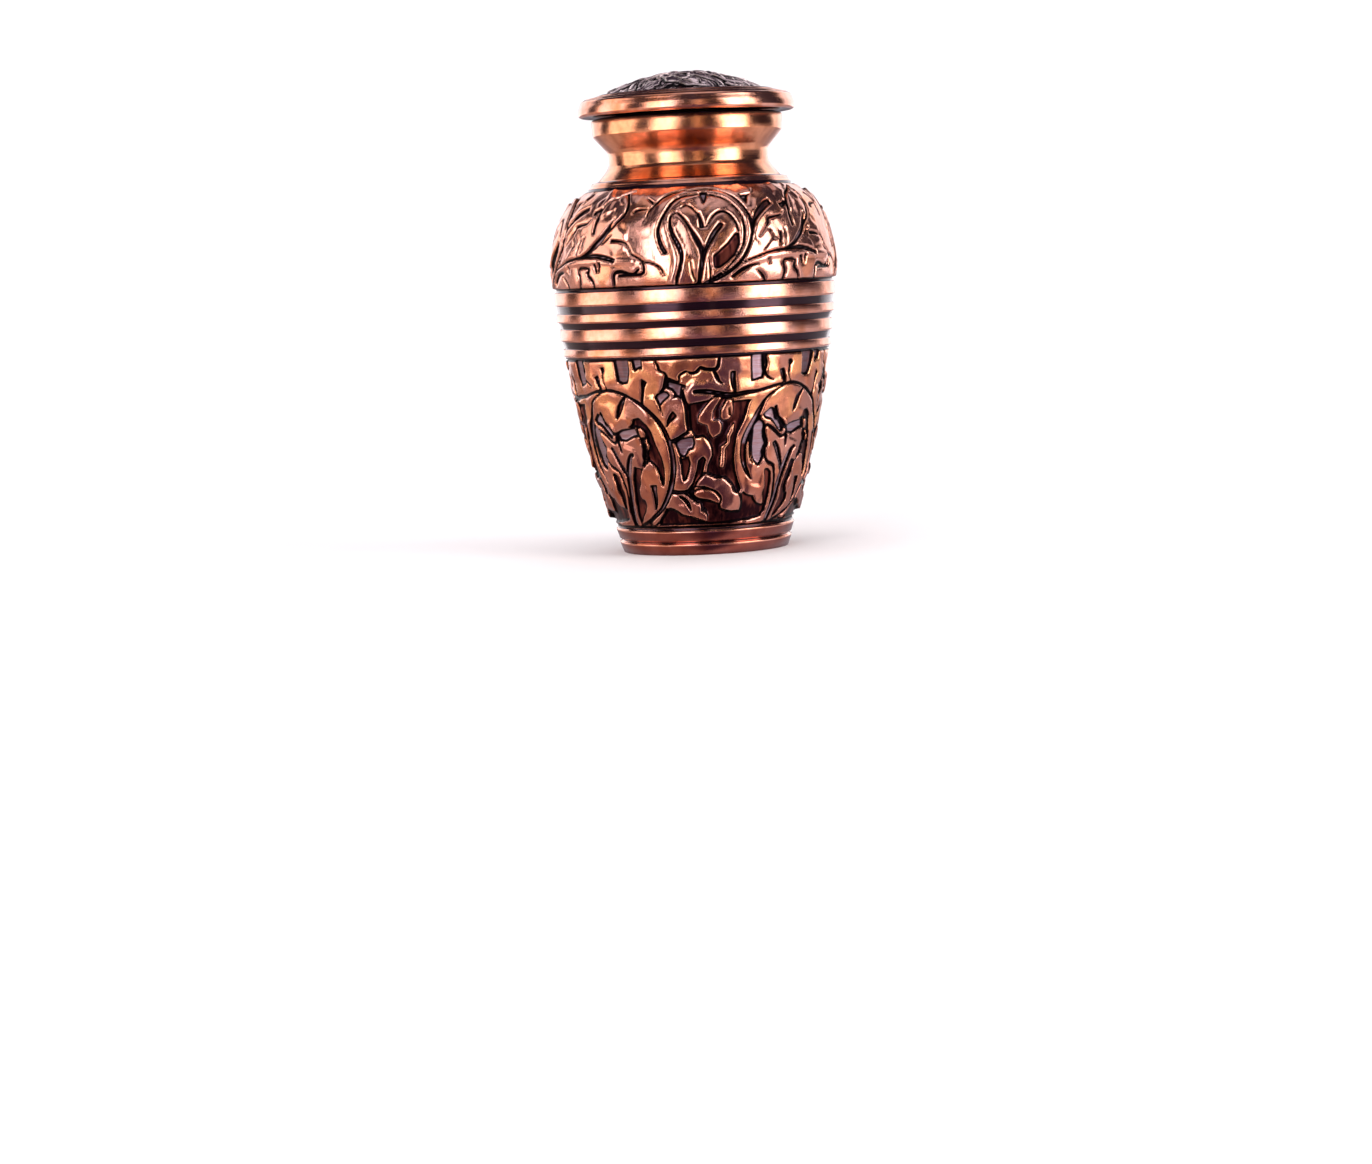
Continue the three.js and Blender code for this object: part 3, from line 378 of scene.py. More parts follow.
DOME_LINES = [
    ([(18, 6), (4, 7.6)], [0.35, 0.25]),
    ([(29, 8), (18, 10)], [0.4, 0.25]),
    ([(42, 10.2), (34, 12.4)], [0.4, 0.25]),
    ([(24, 7), (42, 7.2)], [0.35, 0.25]),
    ([(38, 9.6), (53, 9.6)], [0.4, 0.25]),
    ([(52, 11.8), (62, 11.9)], [0.35, 0.25]),
    ([(28, 10.4), (23, 12.2), (22, 13.7)], [0.3, 0.5, 0.3]),
    ([(64, 10.6), (66, 12.2), (65, 13.7)], [0.3, 0.5, 0.3]),
    ([(80, 9.4), (76, 8.4), (72, 8.6)], [0.3, 0.4, 0.3]),
    ([(46, 6.4), (44, 4.4), (48, 3)], [0.3, 0.5, 0.3]),
]
LOWER = dict(seed=7, tilt=0.1, grounds=LOWER_GROUNDS, plates=LOWER_PLATES, lines=LOWER_LINES)
# On the shoulder, leaves and stems swell softly out of the surface, with no line round them
UPPER = dict(
    seed=5, tilt=0.04, soft=True, grounds=UPPER_GROUNDS, leaves=UPPER_LEAVES, vines=UPPER_VINES,
    lines=UPPER_LINES,
)
DOME = dict(seed=3, tilt=0.12, grounds=DOME_GROUNDS, leaves=DOME_LEAVES, vines=DOME_VINES, lines=DOME_LINES)


class Line:
    """A smooth curve through points, with places along it by share of its length."""

    def __init__(self, points, steps=24):
        points = np.array(points, float)
        held = np.vstack([points[:1], points, points[-1:]])
        t = np.arange(steps)[:, None] / steps
        run = []
        for a, b, c, d in zip(held, held[1:], held[2:], held[3:]):
            start, end = (c - a) / 2, (d - b) / 2
            cubic = 2 * b - 2 * c + start + end
            square = 3 * c - 3 * b - 2 * start - end
            run.append(cubic * t**3 + square * t**2 + start * t + b)
        self.points = np.vstack([*run, points[-1:]])
        gaps = np.linalg.norm(np.diff(self.points, axis=0), axis=1)
        self.lengths = np.concatenate([[0], np.cumsum(gaps)])
        self.length = self.lengths[-1]

    def at(self, shares):
        wanted = np.clip(shares, 0, 1) * self.length
        return np.stack([np.interp(wanted, self.lengths, self.points[:, k]) for k in (0, 1)], -1)

    def along(self, shares):
        step = 0.01
        shares = np.asarray(shares)
        way = self.at(shares + step) - self.at(shares - step)
        return way / np.linalg.norm(way, axis=-1, keepdims=True)

    def beside(self, shares, offset):
        way = self.along(shares)
        return self.at(shares) + np.stack([-way[..., 1], way[..., 0]], -1) * np.asarray(offset)[..., None]


LOWER_CURVE = Line([(15.3, FRIEZE_FOOT), (16.8, 8.6), (19.05, 16.6), (20.95, 24.7), (22.4, FRIEZE_TOP)])
UPPER_CURVE = Line([
    (23.75, SHOULDER_FOOT), (SHOULDER_RADIUS, 47.8), (23.65, 51.8), (22.3, 55.9), (20.1, 58.9),
    (17.3, SHOULDER_TOP),
])


def leaf_outline(line, stalk, left, right):
    """Lobed outline: each lobe is a point at its half width, followed by a notch nearer the midrib."""
    sides = []
    for sign, lobes in ((1, left), (-1, right)):
        points = [line.beside(0, sign * stalk / 2)]
        span = 1 / (len(lobes) + TIP_SPAN)
        for k, half in enumerate(lobes):
            following = lobes[k + 1] if k + 1 < len(lobes) else TIP_WIDTH * half
            notch = NOTCH_SHARE * min(half, following + NOTCH_SPARE)
            points.append(line.beside((k + LOBE_AT) * span, sign * half))
            points.append(line.beside((k + NOTCH_AT) * span, sign * notch))
        sides.append(points)
    return softened([*sides[0], line.at(1), *sides[1][::-1]])


def softened(outline):
    """Cuts each corner a little, as a chaser's tool leaves it."""
    outline = np.array(outline)
    after = np.roll(outline, -1, axis=0)
    step = (after - outline) * CORNER_CUT
    return np.stack([outline + step, after - step], 1).reshape(-1, 2)


def band_outline(line, widths, start=0.0, end=1.0, steps=24):
    shares = np.linspace(start, end, steps + 1)
    half = np.interp(np.linspace(0, 1, steps + 1), np.linspace(0, 1, len(widths)), widths) / 2
    return np.vstack([line.beside(shares, half), line.beside(shares, -half)[::-1]])


def depth_in(points, outline):
    """Distance to an outline, positive inside it."""
    least = np.full(len(points), np.inf)
    inside = np.zeros(len(points), bool)
    for a, b in zip(outline, np.roll(outline, -1, axis=0)):
        edge = b - a
        share = np.clip((points - a) @ edge / max(edge @ edge, 1e-12), 0, 1)
        least = np.minimum(least, np.linalg.norm(points - a - share[:, None] * edge, axis=1))
        if a[1] != b[1]:
            crossing = (a[1] > points[:, 1]) != (b[1] > points[:, 1])
            inside ^= crossing & (points[:, 0] < a[0] + (points[:, 1] - a[1]) * edge[0] / edge[1])
    return np.where(inside, least, -least)


def smooth_step(value, low, high):
    share = np.clip((value - low) / (high - low), 0, 1)
    return share * share * (3 - 2 * share)


class Carving:
    """Carved points: how far each lies inside its shape, or below zero in a line or a ground patch."""

    def __init__(self, points, tone):
        self.points = points
        self.field = np.full(len(points), FAR)
        self.top = np.full(len(points), FILL_LEVEL)
        self.tone = tone

    def near(self, outline):
        low, high = outline.min(0) - FAR, outline.max(0) + FAR
        near = np.flatnonzero(np.all((self.points > low) & (self.points < high), axis=1))
        return near, depth_in(self.points[near], outline)

    def lay(self, outline, level, tone, tilt=(0, 0), soft=False):
        """Raises a shape, with a trench cut round it into whatever lies there; a soft one has no trench."""
        near, depth = self.near(outline)
        inside = depth > -TRENCH / 2
        share = smooth_step(depth, WALL_FOOT, SOFT_TOP) if soft else inside
        if not soft:
            beside = np.minimum(self.field[near], -TRENCH - depth)
            self.field[near] = np.where(inside, depth, beside)
        level = level + (self.points[near] - outline.mean(0)) @ np.array(tilt)
        self.top[near] += (level - self.top[near]) * share
        self.tone[near] += (tone - self.tone[near]) * share

    def cut(self, outline, tone=None):
        near, depth = self.near(outline)
        self.field[near] = np.minimum(self.field[near], -depth)
        if tone is not None:
            self.tone[near] += (tone - self.tone[near]) * smooth_step(depth, 0, TONE_FADE)

    def height(self):
        top = self.top + CROWN * (1 - np.exp(-np.maximum(self.field, 0) / CROWN_RUN))
        return GROUND_LEVEL + (top - GROUND_LEVEL) * smooth_step(self.field, WALL_FOOT, WALL_TOP)


def facets(points, width, most_tilt, chance, wraps):
    """Height and tone of flat tool cuts, each with its own slight tilt, that meet along soft creases."""
    low, high = points.min(0), points.max(0)
    high[0] = low[0] + width
    counts = np.round((high - low) / FACET).astype(int)
    grid = np.stack(np.meshgrid(*(np.arange(count) + 0.5 for count in counts)), -1).reshape(-1, 2)
    shifted = grid + chance.uniform(-FACET_SHIFT, FACET_SHIFT, grid.shape)
    middles = low + shifted * (high - low) / counts
    tilts = chance.uniform(-most_tilt, most_tilt, grid.shape)
    tones = chance.uniform(0, 1, len(grid))
    turns = (-width, 0, width) if wraps else (0,)
    middles = np.concatenate([middles + (turn, 0) for turn in turns])
    away = points[:, None] - middles
    distance = np.linalg.norm(away, axis=-1)
    share = np.exp((distance.min(1, keepdims=True) - distance) / CREASE)
    share /= share.sum(1, keepdims=True)
    heights = (away * np.tile(tilts, (len(turns), 1))).sum(-1)
    return (share * heights).sum(1), share @ np.tile(tones, len(turns))


def own_look(chance):
    """A leaf's own tone and tilt."""
    return chance.uniform(*LEAF_TONES), chance.uniform(-MOST_TILT, MOST_TILT, 2)


def carve(points, shapes, placings, width, wraps=True):
    """Grounds first, then plates, leaves and stems over them, and dark lines last."""
    chance = np.random.default_rng(shapes["seed"])
    soft = shapes.get("soft", False)
    relief, tone = facets(points, width, shapes["tilt"], chance, wraps)
    carving = Carving(points, tone)
    for tone, edge in shapes["grounds"]:
        for place in placings:
            carving.cut(softened(place(edge)), tone)
    for plate in shapes.get("plates", []):
        tone, tilt = own_look(chance)
        for place in placings:
            carving.lay(softened(place(plate)), LEAF_LEVEL, tone, tilt)
    for midrib, stalk, left, right, *cuts in shapes.get("leaves", []):
        tone, tilt = own_look(chance)
        for place in placings:
            line = Line(place(midrib))
            carving.lay(leaf_outline(line, stalk, left, right), LEAF_LEVEL, tone, tilt, soft)
            for start, end, first, last in cuts:
                carving.cut(band_outline(line, [first, last], start, end, 8))
    for path, widths in shapes.get("vines", []):
        for place in placings:
            carving.lay(band_outline(Line(place(path)), widths), VINE_LEVEL, VINE_TONE, soft=soft)
    for path, widths in shapes["lines"]:
        for place in placings:
            carving.cut(band_outline(Line(place(path)), widths, steps=3 * len(path)))
    carving.top += relief
    return carving


def on_frieze(turn, mean_radius):
    return lambda points: [(math.radians(angle + turn) * mean_radius, up) for angle, up in points]


def on_dome(turn):
    return lambda points: [
        (out * math.cos(math.radians(angle + turn)), out * math.sin(math.radians(angle + turn)))
        for angle, out in points
    ]


def turned(radius, height, angle):
    """Points of a turned surface; angle 0 faces -Y."""
    radius, height, angle = np.broadcast_arrays(radius, height, angle)
    return np.stack([radius * np.sin(angle), -radius * np.cos(angle), height], -1)


def ring_angles(columns):
    return np.arange(columns) / columns * 2 * math.pi


def add_object(name, data):
    piece = bpy.data.objects.new(name, data)
    bpy.context.scene.collection.objects.link(piece)
    return piece


class Skin:
    """A mesh built from rings; each ring carries its finish and its carving values."""

    def __init__(self):
        self.points, self.faces, self.finishes = [], [], []
        self.values = []
        self.count = 0
        self.last = None

    def ring(self, points, finish, field=None, tone=None):
        n = len(points)
        indices = np.arange(self.count, self.count + n)
        self.points.append(points)
        field = np.zeros(n) if field is None else field
        tone = np.full(n, 0.5) if tone is None else tone
        self.values.append(np.stack([field, tone], -1))
        self.count += n
        if self.last is not None:
            self.join(self.last, indices, finish)
        self.last = indices

    def join(self, lower, upper, finish):
        n, m = len(lower), len(upper)
        if n == m:
            faces = np.stack([lower, np.roll(lower, -1), np.roll(upper, -1), upper], -1).tolist()
        else:
            faces = []
            steps = max(n, m)
            for k in range(steps):
                a, b = k * n // steps, (k + 1) * n // steps
                c, d = k * m // steps, (k + 1) * m // steps
                face = [lower[a % n], lower[b % n], upper[d % m], upper[c % m]]
                faces.append(list(dict.fromkeys(int(i) for i in face)))
        self.faces.extend(faces)
        self.finishes.extend([finish] * len(faces))

    def plain(self, profile, finish):
        for radius, height in profile:
            if radius == 0:
                self.ring(np.array([[0.0, 0.0, height]]), finish)
            else:
                self.ring(turned(radius, height, ring_angles(PLAIN_COLUMNS)), finish)

    def frieze(self, curve, mean_radius, rows, shapes, finish):
        """A carved stretch: one quarter is worked out and repeated round the urn."""
        columns = CARVED_COLUMNS // 4
        width = math.radians(QUARTER) * mean_radius
        across = (np.arange(columns) / columns - 0.5) * width
        up = np.arange(rows + 1) / rows * curve.length
        flat = np.stack(np.meshgrid(across, up), -1).reshape(-1, 2)
        placings = [on_frieze(turn, mean_radius) for turn in (-QUARTER, 0, QUARTER)]
        carving = carve(flat, shapes, placings, width)
        border = np.minimum(flat[:, 1], curve.length - flat[:, 1])
        carving.field = np.minimum(carving.field, border - BORDER_LINE)
        height = carving.height()
        shares = flat[:, 1] / curve.length
        middle, way = curve.at(shares), curve.along(shares)
        radius = middle[:, 0] + way[:, 1] * height
        level = middle[:, 1] - way[:, 0] * height
        quarter = np.stack([radius, level, carving.field, carving.tone])
        angles = ring_angles(CARVED_COLUMNS)
        for row in range(rows + 1):
            part = quarter[:, row * columns:(row + 1) * columns]
            radii, levels, fields, tones = np.roll(np.tile(part, 4), -CARVED_COLUMNS // 8, axis=1)
            self.ring(turned(radii, levels, angles), finish, fields, tones)

    def dome(self, rim_radius, sphere_radius, top, shapes):
        angles = ring_angles(DOME_COLUMNS)
        radii = rim_radius * (1 - np.arange(DOME_RINGS) / DOME_RINGS)
        rings = [turned(radius, 0, angles)[:, :2] for radius in radii]
        flat = np.concatenate([*rings, np.zeros((1, 2))])
        placings = [on_dome(DOME_TURN + step * QUARTER) for step in range(4)]
        carving = carve(flat, shapes, placings, 2 * rim_radius, wraps=False)
        border = rim_radius - np.linalg.norm(flat, axis=1)
        carving.field = np.minimum(carving.field, border - BORDER_LINE)
        up = top - sphere_radius + np.sqrt(sphere_radius**2 - (flat**2).sum(1)) + carving.height()
        points = np.column_stack([flat, up])
        for start in range(0, len(points), DOME_COLUMNS):
            part = slice(start, start + DOME_COLUMNS)
            self.ring(points[part], "dome", carving.field[part], carving.tone[part])

    def make(self, name, materials):
        mesh = bpy.data.meshes.new(name)
        mesh.from_pydata((np.vstack(self.points) * MM).tolist(), [], self.faces)
        order = list(dict.fromkeys(self.finishes))
        for finish in order:
            mesh.materials.append(materials[finish])
        places = {finish: k for k, finish in enumerate(order)}
        mesh.polygons.foreach_set("material_index", [places[finish] for finish in self.finishes])
        mesh.polygons.foreach_set("use_smooth", [True] * len(mesh.polygons))
        values = np.vstack(self.values)
        for k, attribute in enumerate(("field", "tone")):
            layer = mesh.attributes.new(attribute, "FLOAT", "POINT")
            layer.data.foreach_set("value", values[:, k].astype(np.float32))
        mesh.update()
        mesh.validate()
        return add_object(name, mesh)


def rounded(profile, radius=EDGE_ROUND):
    """Rounds every inner corner of a profile, so that polished edges catch the light."""
    profile = [np.array(point, float) for point in profile]
    points = [profile[0]]
    for before, corner, after in zip(profile, profile[1:], profile[2:]):
        to_before, to_after = before - corner, after - corner
        gap_before, gap_after = np.linalg.norm(to_before), np.linalg.norm(to_after)
        reach = min(radius, ROUND_REACH * gap_before, ROUND_REACH * gap_after)
        start = corner + to_before / gap_before * reach
        end = corner + to_after / gap_after * reach
        for t in np.linspace(0, 1, ROUND_STEPS + 1):
            points.append((1 - t) ** 2 * start + 2 * t * (1 - t) * corner + t**2 * end)
    points.append(profile[-1])
    return points


def build_body(materials):
    skin = Skin()
    skin.plain([(0, RECESS), (RECESS_RADIUS, RECESS), (RECESS_RADIUS + RECESS_FLARE, 0)], "inside")
    for foot, lip, under, groove in (BASE[:4], BASE[4:]):
        below_lip = tuple(np.array(lip) + (np.array(foot) - lip) * LIP_SHARE)
        # The foot bands take a darker copy of the polished copper: painted dark reflection
        skin.plain([foot, below_lip], "foot")
        skin.plain(rounded([below_lip, lip, under])[1:], "polished")
        skin.plain([groove], "groove")
    skin.frieze(LOWER_CURVE, LOWER_MEAN_RADIUS, LOWER_ROWS, LOWER, "lower")
    inner = BANDS[0][2] - GROOVE_DEPTH
    level = FRIEZE_TOP + 2 * GROOVE_EDGE
    for foot, top, radius in BANDS:
        groove_foot = (inner, level)
        inner = radius - GROOVE_DEPTH
        level = top + GROOVE_EDGE
        band = [(inner, foot), (radius, foot + BAND_BEVEL), (radius, top - BAND_BEVEL), (inner, top)]
        skin.plain([groove_foot, (inner, foot - GROOVE_EDGE)], "groove")
        skin.plain(rounded(band), "polished")
    skin.plain([(inner, level), (inner, SHOULDER_FOOT - GROOVE_EDGE)], "groove")
    skin.frieze(UPPER_CURVE, UPPER_MEAN_RADIUS, UPPER_ROWS, UPPER, "upper")
    skin.plain(NECK[:1], "groove")
    skin.plain(rounded(NECK[1:4]), "polished")
    skin.plain(NECK[4:5], "groove")
    # Neck and collar take a golden copy of the polished copper: painted warm reflection
    skin.plain(rounded(NECK[5:]), "neck")
    # Painted shadow: the collar's top edge, under the lid's flange, takes the dark groove finish
    skin.plain(COLLAR_EDGE, "groove")
    skin.plain([(NECK_BORE + RIM_CHAMFER, RIM_HEIGHT), (NECK_BORE, RIM_HEIGHT - RIM_CHAMFER)], "polished")
    skin.plain([(NECK_BORE, BORE_FOOT), CHAMBER_SHOULDER], "inside")
    skin.plain(UPPER_CURVE.beside(CHAMBER_SHARES, WALL), "inside")
    skin.plain(CHAMBER_WAIST, "inside")
    skin.plain(LOWER_CURVE.beside(CHAMBER_SHARES, WALL), "inside")
    skin.plain(CHAMBER_FLOOR, "inside")
    return skin.make("urn_body_chased", materials)


def build_lid(materials):
    skin = Skin()
    skin.plain(CEILING + PLUG, "inside")
    # Painted shadow: the flat underside of the lid's flange, out to near its edge, takes the dark groove
    # finish
    skin.plain([(FLANGE_RADIUS - FLANGE_SHADOW_INSET, LID_SEAT)], "groove")
    skin.plain(rounded(FLANGE, FLANGE_ROUND), "polished")
    skin.plain(LID_RINGS[:1], "groove")
    skin.plain(rounded(LID_RINGS[1:3]), "polished")
    skin.plain(LID_RINGS[3:4], "groove")
    skin.plain(rounded(LID_RINGS[4:6]), "polished")
    skin.plain(LID_RINGS[6:], "groove")
    skin.dome(DOME_RIM, DOME_SPHERE, DOME_TOP, DOME)
    return skin.make("lid_chased", materials)


class Nodes:
    """Short names for building the node tree of a material or a world."""

    def __init__(self, owner):
        owner.use_nodes = True
        self.owner = owner
        self.tree = owner.node_tree
        self.coordinates = self.add("ShaderNodeTexCoord").outputs

    def add(self, kind, **settings):
        node = self.tree.nodes.new(kind)
        for key, value in settings.items():
            setattr(node, key, value)
        return node

    def feed(self, socket, value):
        """Links an output into a socket, or sets the socket to a plain value or a colour."""
        if isinstance(value, tuple):
            socket.default_value = (*value, 1)
        elif isinstance(value, (int, float)):
            socket.default_value = value
        else:
            self.tree.links.new(value, socket)

    def noise(self, scale, detail=3.0, roughness=0.55, stretch=(1, 1, 1)):
        """Noise with that many cells to the metre, before the stretch."""
        place = self.coordinates["Object"]
        if stretch != (1, 1, 1):
            mapping = self.add("ShaderNodeMapping")
            mapping.inputs["Scale"].default_value = stretch
            self.feed(mapping.inputs["Vector"], place)
            place = mapping.outputs["Vector"]
        node = self.add("ShaderNodeTexNoise")
        node.inputs["Scale"].default_value = scale
        node.inputs["Detail"].default_value = detail
        node.inputs["Roughness"].default_value = roughness
        self.feed(node.inputs["Vector"], place)
        return node.outputs["Fac"]

    def value(self, name):
        return self.add("ShaderNodeAttribute", attribute_name=name).outputs["Fac"]

    def parts(self, kind):
        """The X, Y and Z of one kind of coordinates."""
        node = self.add("ShaderNodeSeparateXYZ")
        self.feed(node.inputs["Vector"], self.coordinates[kind])
        return node.outputs

    def math(self, operation, first, second):
        node = self.add("ShaderNodeMath", operation=operation)
        self.feed(node.inputs[0], first)
        self.feed(node.inputs[1], second)
        return node.outputs["Value"]

    def sum(self, first, second):
        return self.math("ADD", first, second)

    def times(self, first, second):
        return self.math("MULTIPLY", first, second)

    def range(self, value, interpolation="LINEAR", **limits):
        node = self.add("ShaderNodeMapRange", interpolation_type=interpolation)
        for name, limit in limits.items():
            node.inputs[name.replace("_", " ")].default_value = limit
        self.feed(node.inputs["Value"], value)
        return node.outputs["Result"]

    def spread(self, value, low, high):
        """Takes 0..1 to low..high."""
        return self.range(value, To_Min=low, To_Max=high)

    def between(self, value, low, high):
        """Smoothly 0 at low and 1 at high, which may be the smaller."""
        return self.range(value, "SMOOTHSTEP", From_Min=low, From_Max=high)

    def mix(self, factor, first, second):
        node = self.add("ShaderNodeMix", data_type="RGBA")
        for name, value in (("Factor", factor), ("A", first), ("B", second)):
            self.feed([socket for socket in node.inputs if socket.name == name and socket.enabled][0], value)
        return [socket for socket in node.outputs if socket.enabled][0]

    def bump(self, height, distance, strength, normal=None):
        node = self.add("ShaderNodeBump")
        node.inputs["Distance"].default_value = distance
        node.inputs["Strength"].default_value = strength
        self.feed(node.inputs["Height"], height)
        if normal is not None:
            self.feed(node.inputs["Normal"], normal)
        return node.outputs["Normal"]

    def finish(self, **sockets):
        shader = self.tree.nodes["Principled BSDF"]
        for name, value in sockets.items():
            self.feed(shader.inputs[name.replace("_", " ")], value)
        return self.owner


GOLDEN = (0.95, 0.42, 0.20)
RUSSET = (0.88, 0.35, 0.20)
COPPER_GOLD = (0.88, 0.385, 0.21)
COPPER = (0.84, 0.35, 0.21)
ROSE = (0.86, 0.43, 0.33)
MAUVE = (0.54, 0.39, 0.42)
SILVER = (0.84, 0.68, 0.70)
PALE_SILVER = (0.96, 0.80, 0.77)
DEEP = (0.62, 0.23, 0.12)
AMBER = (0.58, 0.21, 0.10)
OXBLOOD = (0.22, 0.055, 0.04)
# Pale pink of the painted highlight along worn edges
PALE_EDGE_HIGHLIGHT = (1.0, 0.72, 0.60)
STAIN = (0.30, 0.10, 0.08)
GROUND = (0.40, 0.32, 0.39)
DARK_GROUND = (0.020, 0.005, 0.008)
NEARLY_BLACK = (0.004, 0.002, 0.003)
LACQUER_DARK = (0.006, 0.002, 0.004)
LACQUER_PALE = (0.040, 0.013, 0.024)
DULL_BRASS = (0.40, 0.26, 0.12)
BRIGHT_BRASS = (0.62, 0.44, 0.22)
PAPER = (0.82, 0.81, 0.82)
PALE_PAPER = (0.85, 0.84, 0.85)

# Noise stretched into lines round the urn, or down it: cells to the metre along X, Y and Z
GROUND_STREAKS = (260, 260, 4200)
# Painted reflection streaks running down the dark ground
GROUND_SHEEN_STREAKS = (700, 700, 110)
SCRATCHES = (4200, 4200, 700)
LATHE_LINES = (40, 40, 9000)
LACQUER_LINES = (120, 120, 5000)
INSIDE_RINGS = (60, 60, 3000)

# Where looks begin and end in the field, in millimetres inside a shape
LINE_FADE = 0.14
GROUND_EDGE = (-0.28, -0.48)
RIM_START = (0.04, 0.12)
RIM_END = (0.32, 0.16)
RELIEF_EDGE = (-0.16, 0.12)
# Heights in metres between which painted shade darkens the foot
FOOT_SHADE = (0.028, 0.006)


def carved_copper(name, low_tone, middle_tone, high_tone, tarnish_and_foot_shade, line_reach):
    """Worn copper with dark lines cut into it, over dark or mauve ground.

    The field attribute is the distance inside a shape in millimetres, below zero in lines and ground.
    Bump distances are in metres.
    """
    n = Nodes(bpy.data.materials.new(name))
    tone = n.value("tone")
    field = n.sum(n.value("field"), n.spread(n.noise(1300, 3), -0.05, 0.05))
    line = n.between(field, line_reach, line_reach - LINE_FADE)
    ground = n.between(field, *GROUND_EDGE)
    worn_rim_highlight = n.times(n.between(field, *RIM_START), n.between(field, *RIM_END))
    # Leaf colours, then stains and tarnished patches over them, painted shade that darkens the foot, and a
    # faint painted highlight on worn edges
    cloud = n.sum(tone, n.spread(n.noise(330, 4, 0.6), -0.45, 0.45))
    leaf = n.mix(n.between(cloud, 0.05, 0.4), low_tone, middle_tone)
    leaf = n.mix(n.between(cloud, 0.5, 0.9), leaf, high_tone)
    stain = n.between(n.noise(520, 4, 0.7), 0.56, 0.74)
    leaf = n.mix(n.times(stain, 0.5), leaf, STAIN)
    shade = n.between(n.sum(n.noise(210, 3, 0.6), n.times(tone, 0.25)), 0.46, 0.72)
    leaf = n.mix(n.times(shade, tarnish_and_foot_shade), leaf, OXBLOOD)
    # Painted shade: the carving darkens towards the foot
    foot = n.between(n.parts("Object")["Z"], *FOOT_SHADE)
    leaf = n.mix(n.times(foot, tarnish_and_foot_shade), leaf, OXBLOOD)
    # Painted highlight: a faint pale pink tint on the worn edges of shapes, where bevels catch the light
    leaf = n.mix(n.times(worn_rim_highlight, 0.15), leaf, PALE_EDGE_HIGHLIGHT)
    # Low ground: streaked mauve where the tone is high, dark where it is low, with painted reflection
    # streaks of reddish sheen running down the dark
    streaks = n.between(n.noise(1, 3, 0.6, GROUND_STREAKS), 0.3, 0.7)
    # Painted reflection: vertical reddish sheen streaks on the dark ground
    sheen_streaks = n.between(n.noise(1, 3, 0.6, GROUND_SHEEN_STREAKS), 0.42, 0.68)
    mauve = n.mix(n.times(streaks, 0.6), GROUND, STAIN)
    dark = n.mix(n.times(sheen_streaks, 0.7), DARK_GROUND, OXBLOOD)
    low = n.mix(n.between(tone, 0.7, 0.15), mauve, dark)
    color = n.mix(ground, n.mix(line, leaf, NEARLY_BLACK), low)
    rough = n.sum(n.spread(n.noise(700, 4), 0.13, 0.33), n.times(line, 0.14))
    # Relief at the lines' edges, then dents, hammering, grain and scratches
    normal = n.bump(n.between(field, *RELIEF_EDGE), 0.00016, 0.6)
    normal = n.bump(n.noise(170, 2), 0.0004, 0.4, normal)
    normal = n.bump(n.noise(700, 2), 0.00006, 0.4, normal)
    normal = n.bump(n.noise(2600, 4, 0.65), 0.00003, 0.5, normal)
    normal = n.bump(n.noise(1, 3, 0.7, SCRATCHES), 0.00002, 0.5, normal)
    return n.finish(Base_Color=color, Metallic=1, Roughness=rough, Normal=normal)


def polished_copper(name, dull, bright):
    """Lathe-turned copper, with fine lines round it and a few stains."""
    n = Nodes(bpy.data.materials.new(name))
    lines = n.noise(1, 4, 0.7, LATHE_LINES)
    color = n.mix(n.between(n.noise(300, 4), 0.25, 0.7), dull, bright)
    rough = n.sum(n.spread(lines, 0.08, 0.2), n.times(n.noise(700, 3), 0.08))
    return n.finish(Base_Color=color, Metallic=1, Roughness=rough, Normal=n.bump(lines, 0.00002, 0.7))


def groove_lacquer_and_shadow():
    """The glossy purple-black finish in the turned grooves; it also paints shadow under the lid's flange and
    on the collar's top edge.
    """
    n = Nodes(bpy.data.materials.new("groove_lacquer_and_shadow"))
    streak = n.noise(1, 3, 0.6, LACQUER_LINES)
    color = n.mix(streak, LACQUER_DARK, LACQUER_PALE)
    rough = n.spread(n.noise(900, 2), 0.1, 0.22)
    return n.finish(Base_Color=color, Metallic=0.75, Roughness=rough, Normal=n.bump(streak, 0.00002, 0.5))


def bare_inside():
    """Unpolished brass of the inside and the underside."""
    n = Nodes(bpy.data.materials.new("bare_inside"))
    cloud = n.noise(180, 4)
    color = n.mix(cloud, DULL_BRASS, BRIGHT_BRASS)
    rings = n.bump(n.noise(1, 3, 0.6, INSIDE_RINGS), 0.00003, 0.6)
    return n.finish(Base_Color=color, Metallic=1, Roughness=n.spread(cloud, 0.38, 0.58), Normal=rings)


def plain_paper():
    n = Nodes(bpy.data.materials.new("studio_paper"))
    return n.finish(Base_Color=n.mix(n.noise(40, 3), PAPER, PALE_PAPER), Roughness=0.85)


def build_stage():
    """A seamless sheet: flat floor, then a wide bend up into the backdrop; sizes in metres."""
    half_width, front, back, bend, top = 3.0, -2.2, 0.5, 0.9, 2.4
    bend_steps = 24
    profile = [(front, 0.0), (back, 0.0)]
    for k in range(1, bend_steps + 1):
        a = k / bend_steps * math.pi / 2
        profile.append((back + bend * math.sin(a), bend * (1 - math.cos(a))))
    profile.append((back + bend, top))
    vertices = [(x, y, z) for y, z in profile for x in (-half_width, half_width)]
    faces = [(2 * k, 2 * k + 1, 2 * k + 3, 2 * k + 2) for k in range(len(profile) - 1)]
    mesh = bpy.data.meshes.new("studio_sweep")
    mesh.from_pydata(vertices, [], faces)
    mesh.polygons.foreach_set("use_smooth", [True] * len(mesh.polygons))
    mesh.materials.append(plain_paper())
    sweep = add_object("studio_sweep", mesh)
    sweep.visible_glossy = False


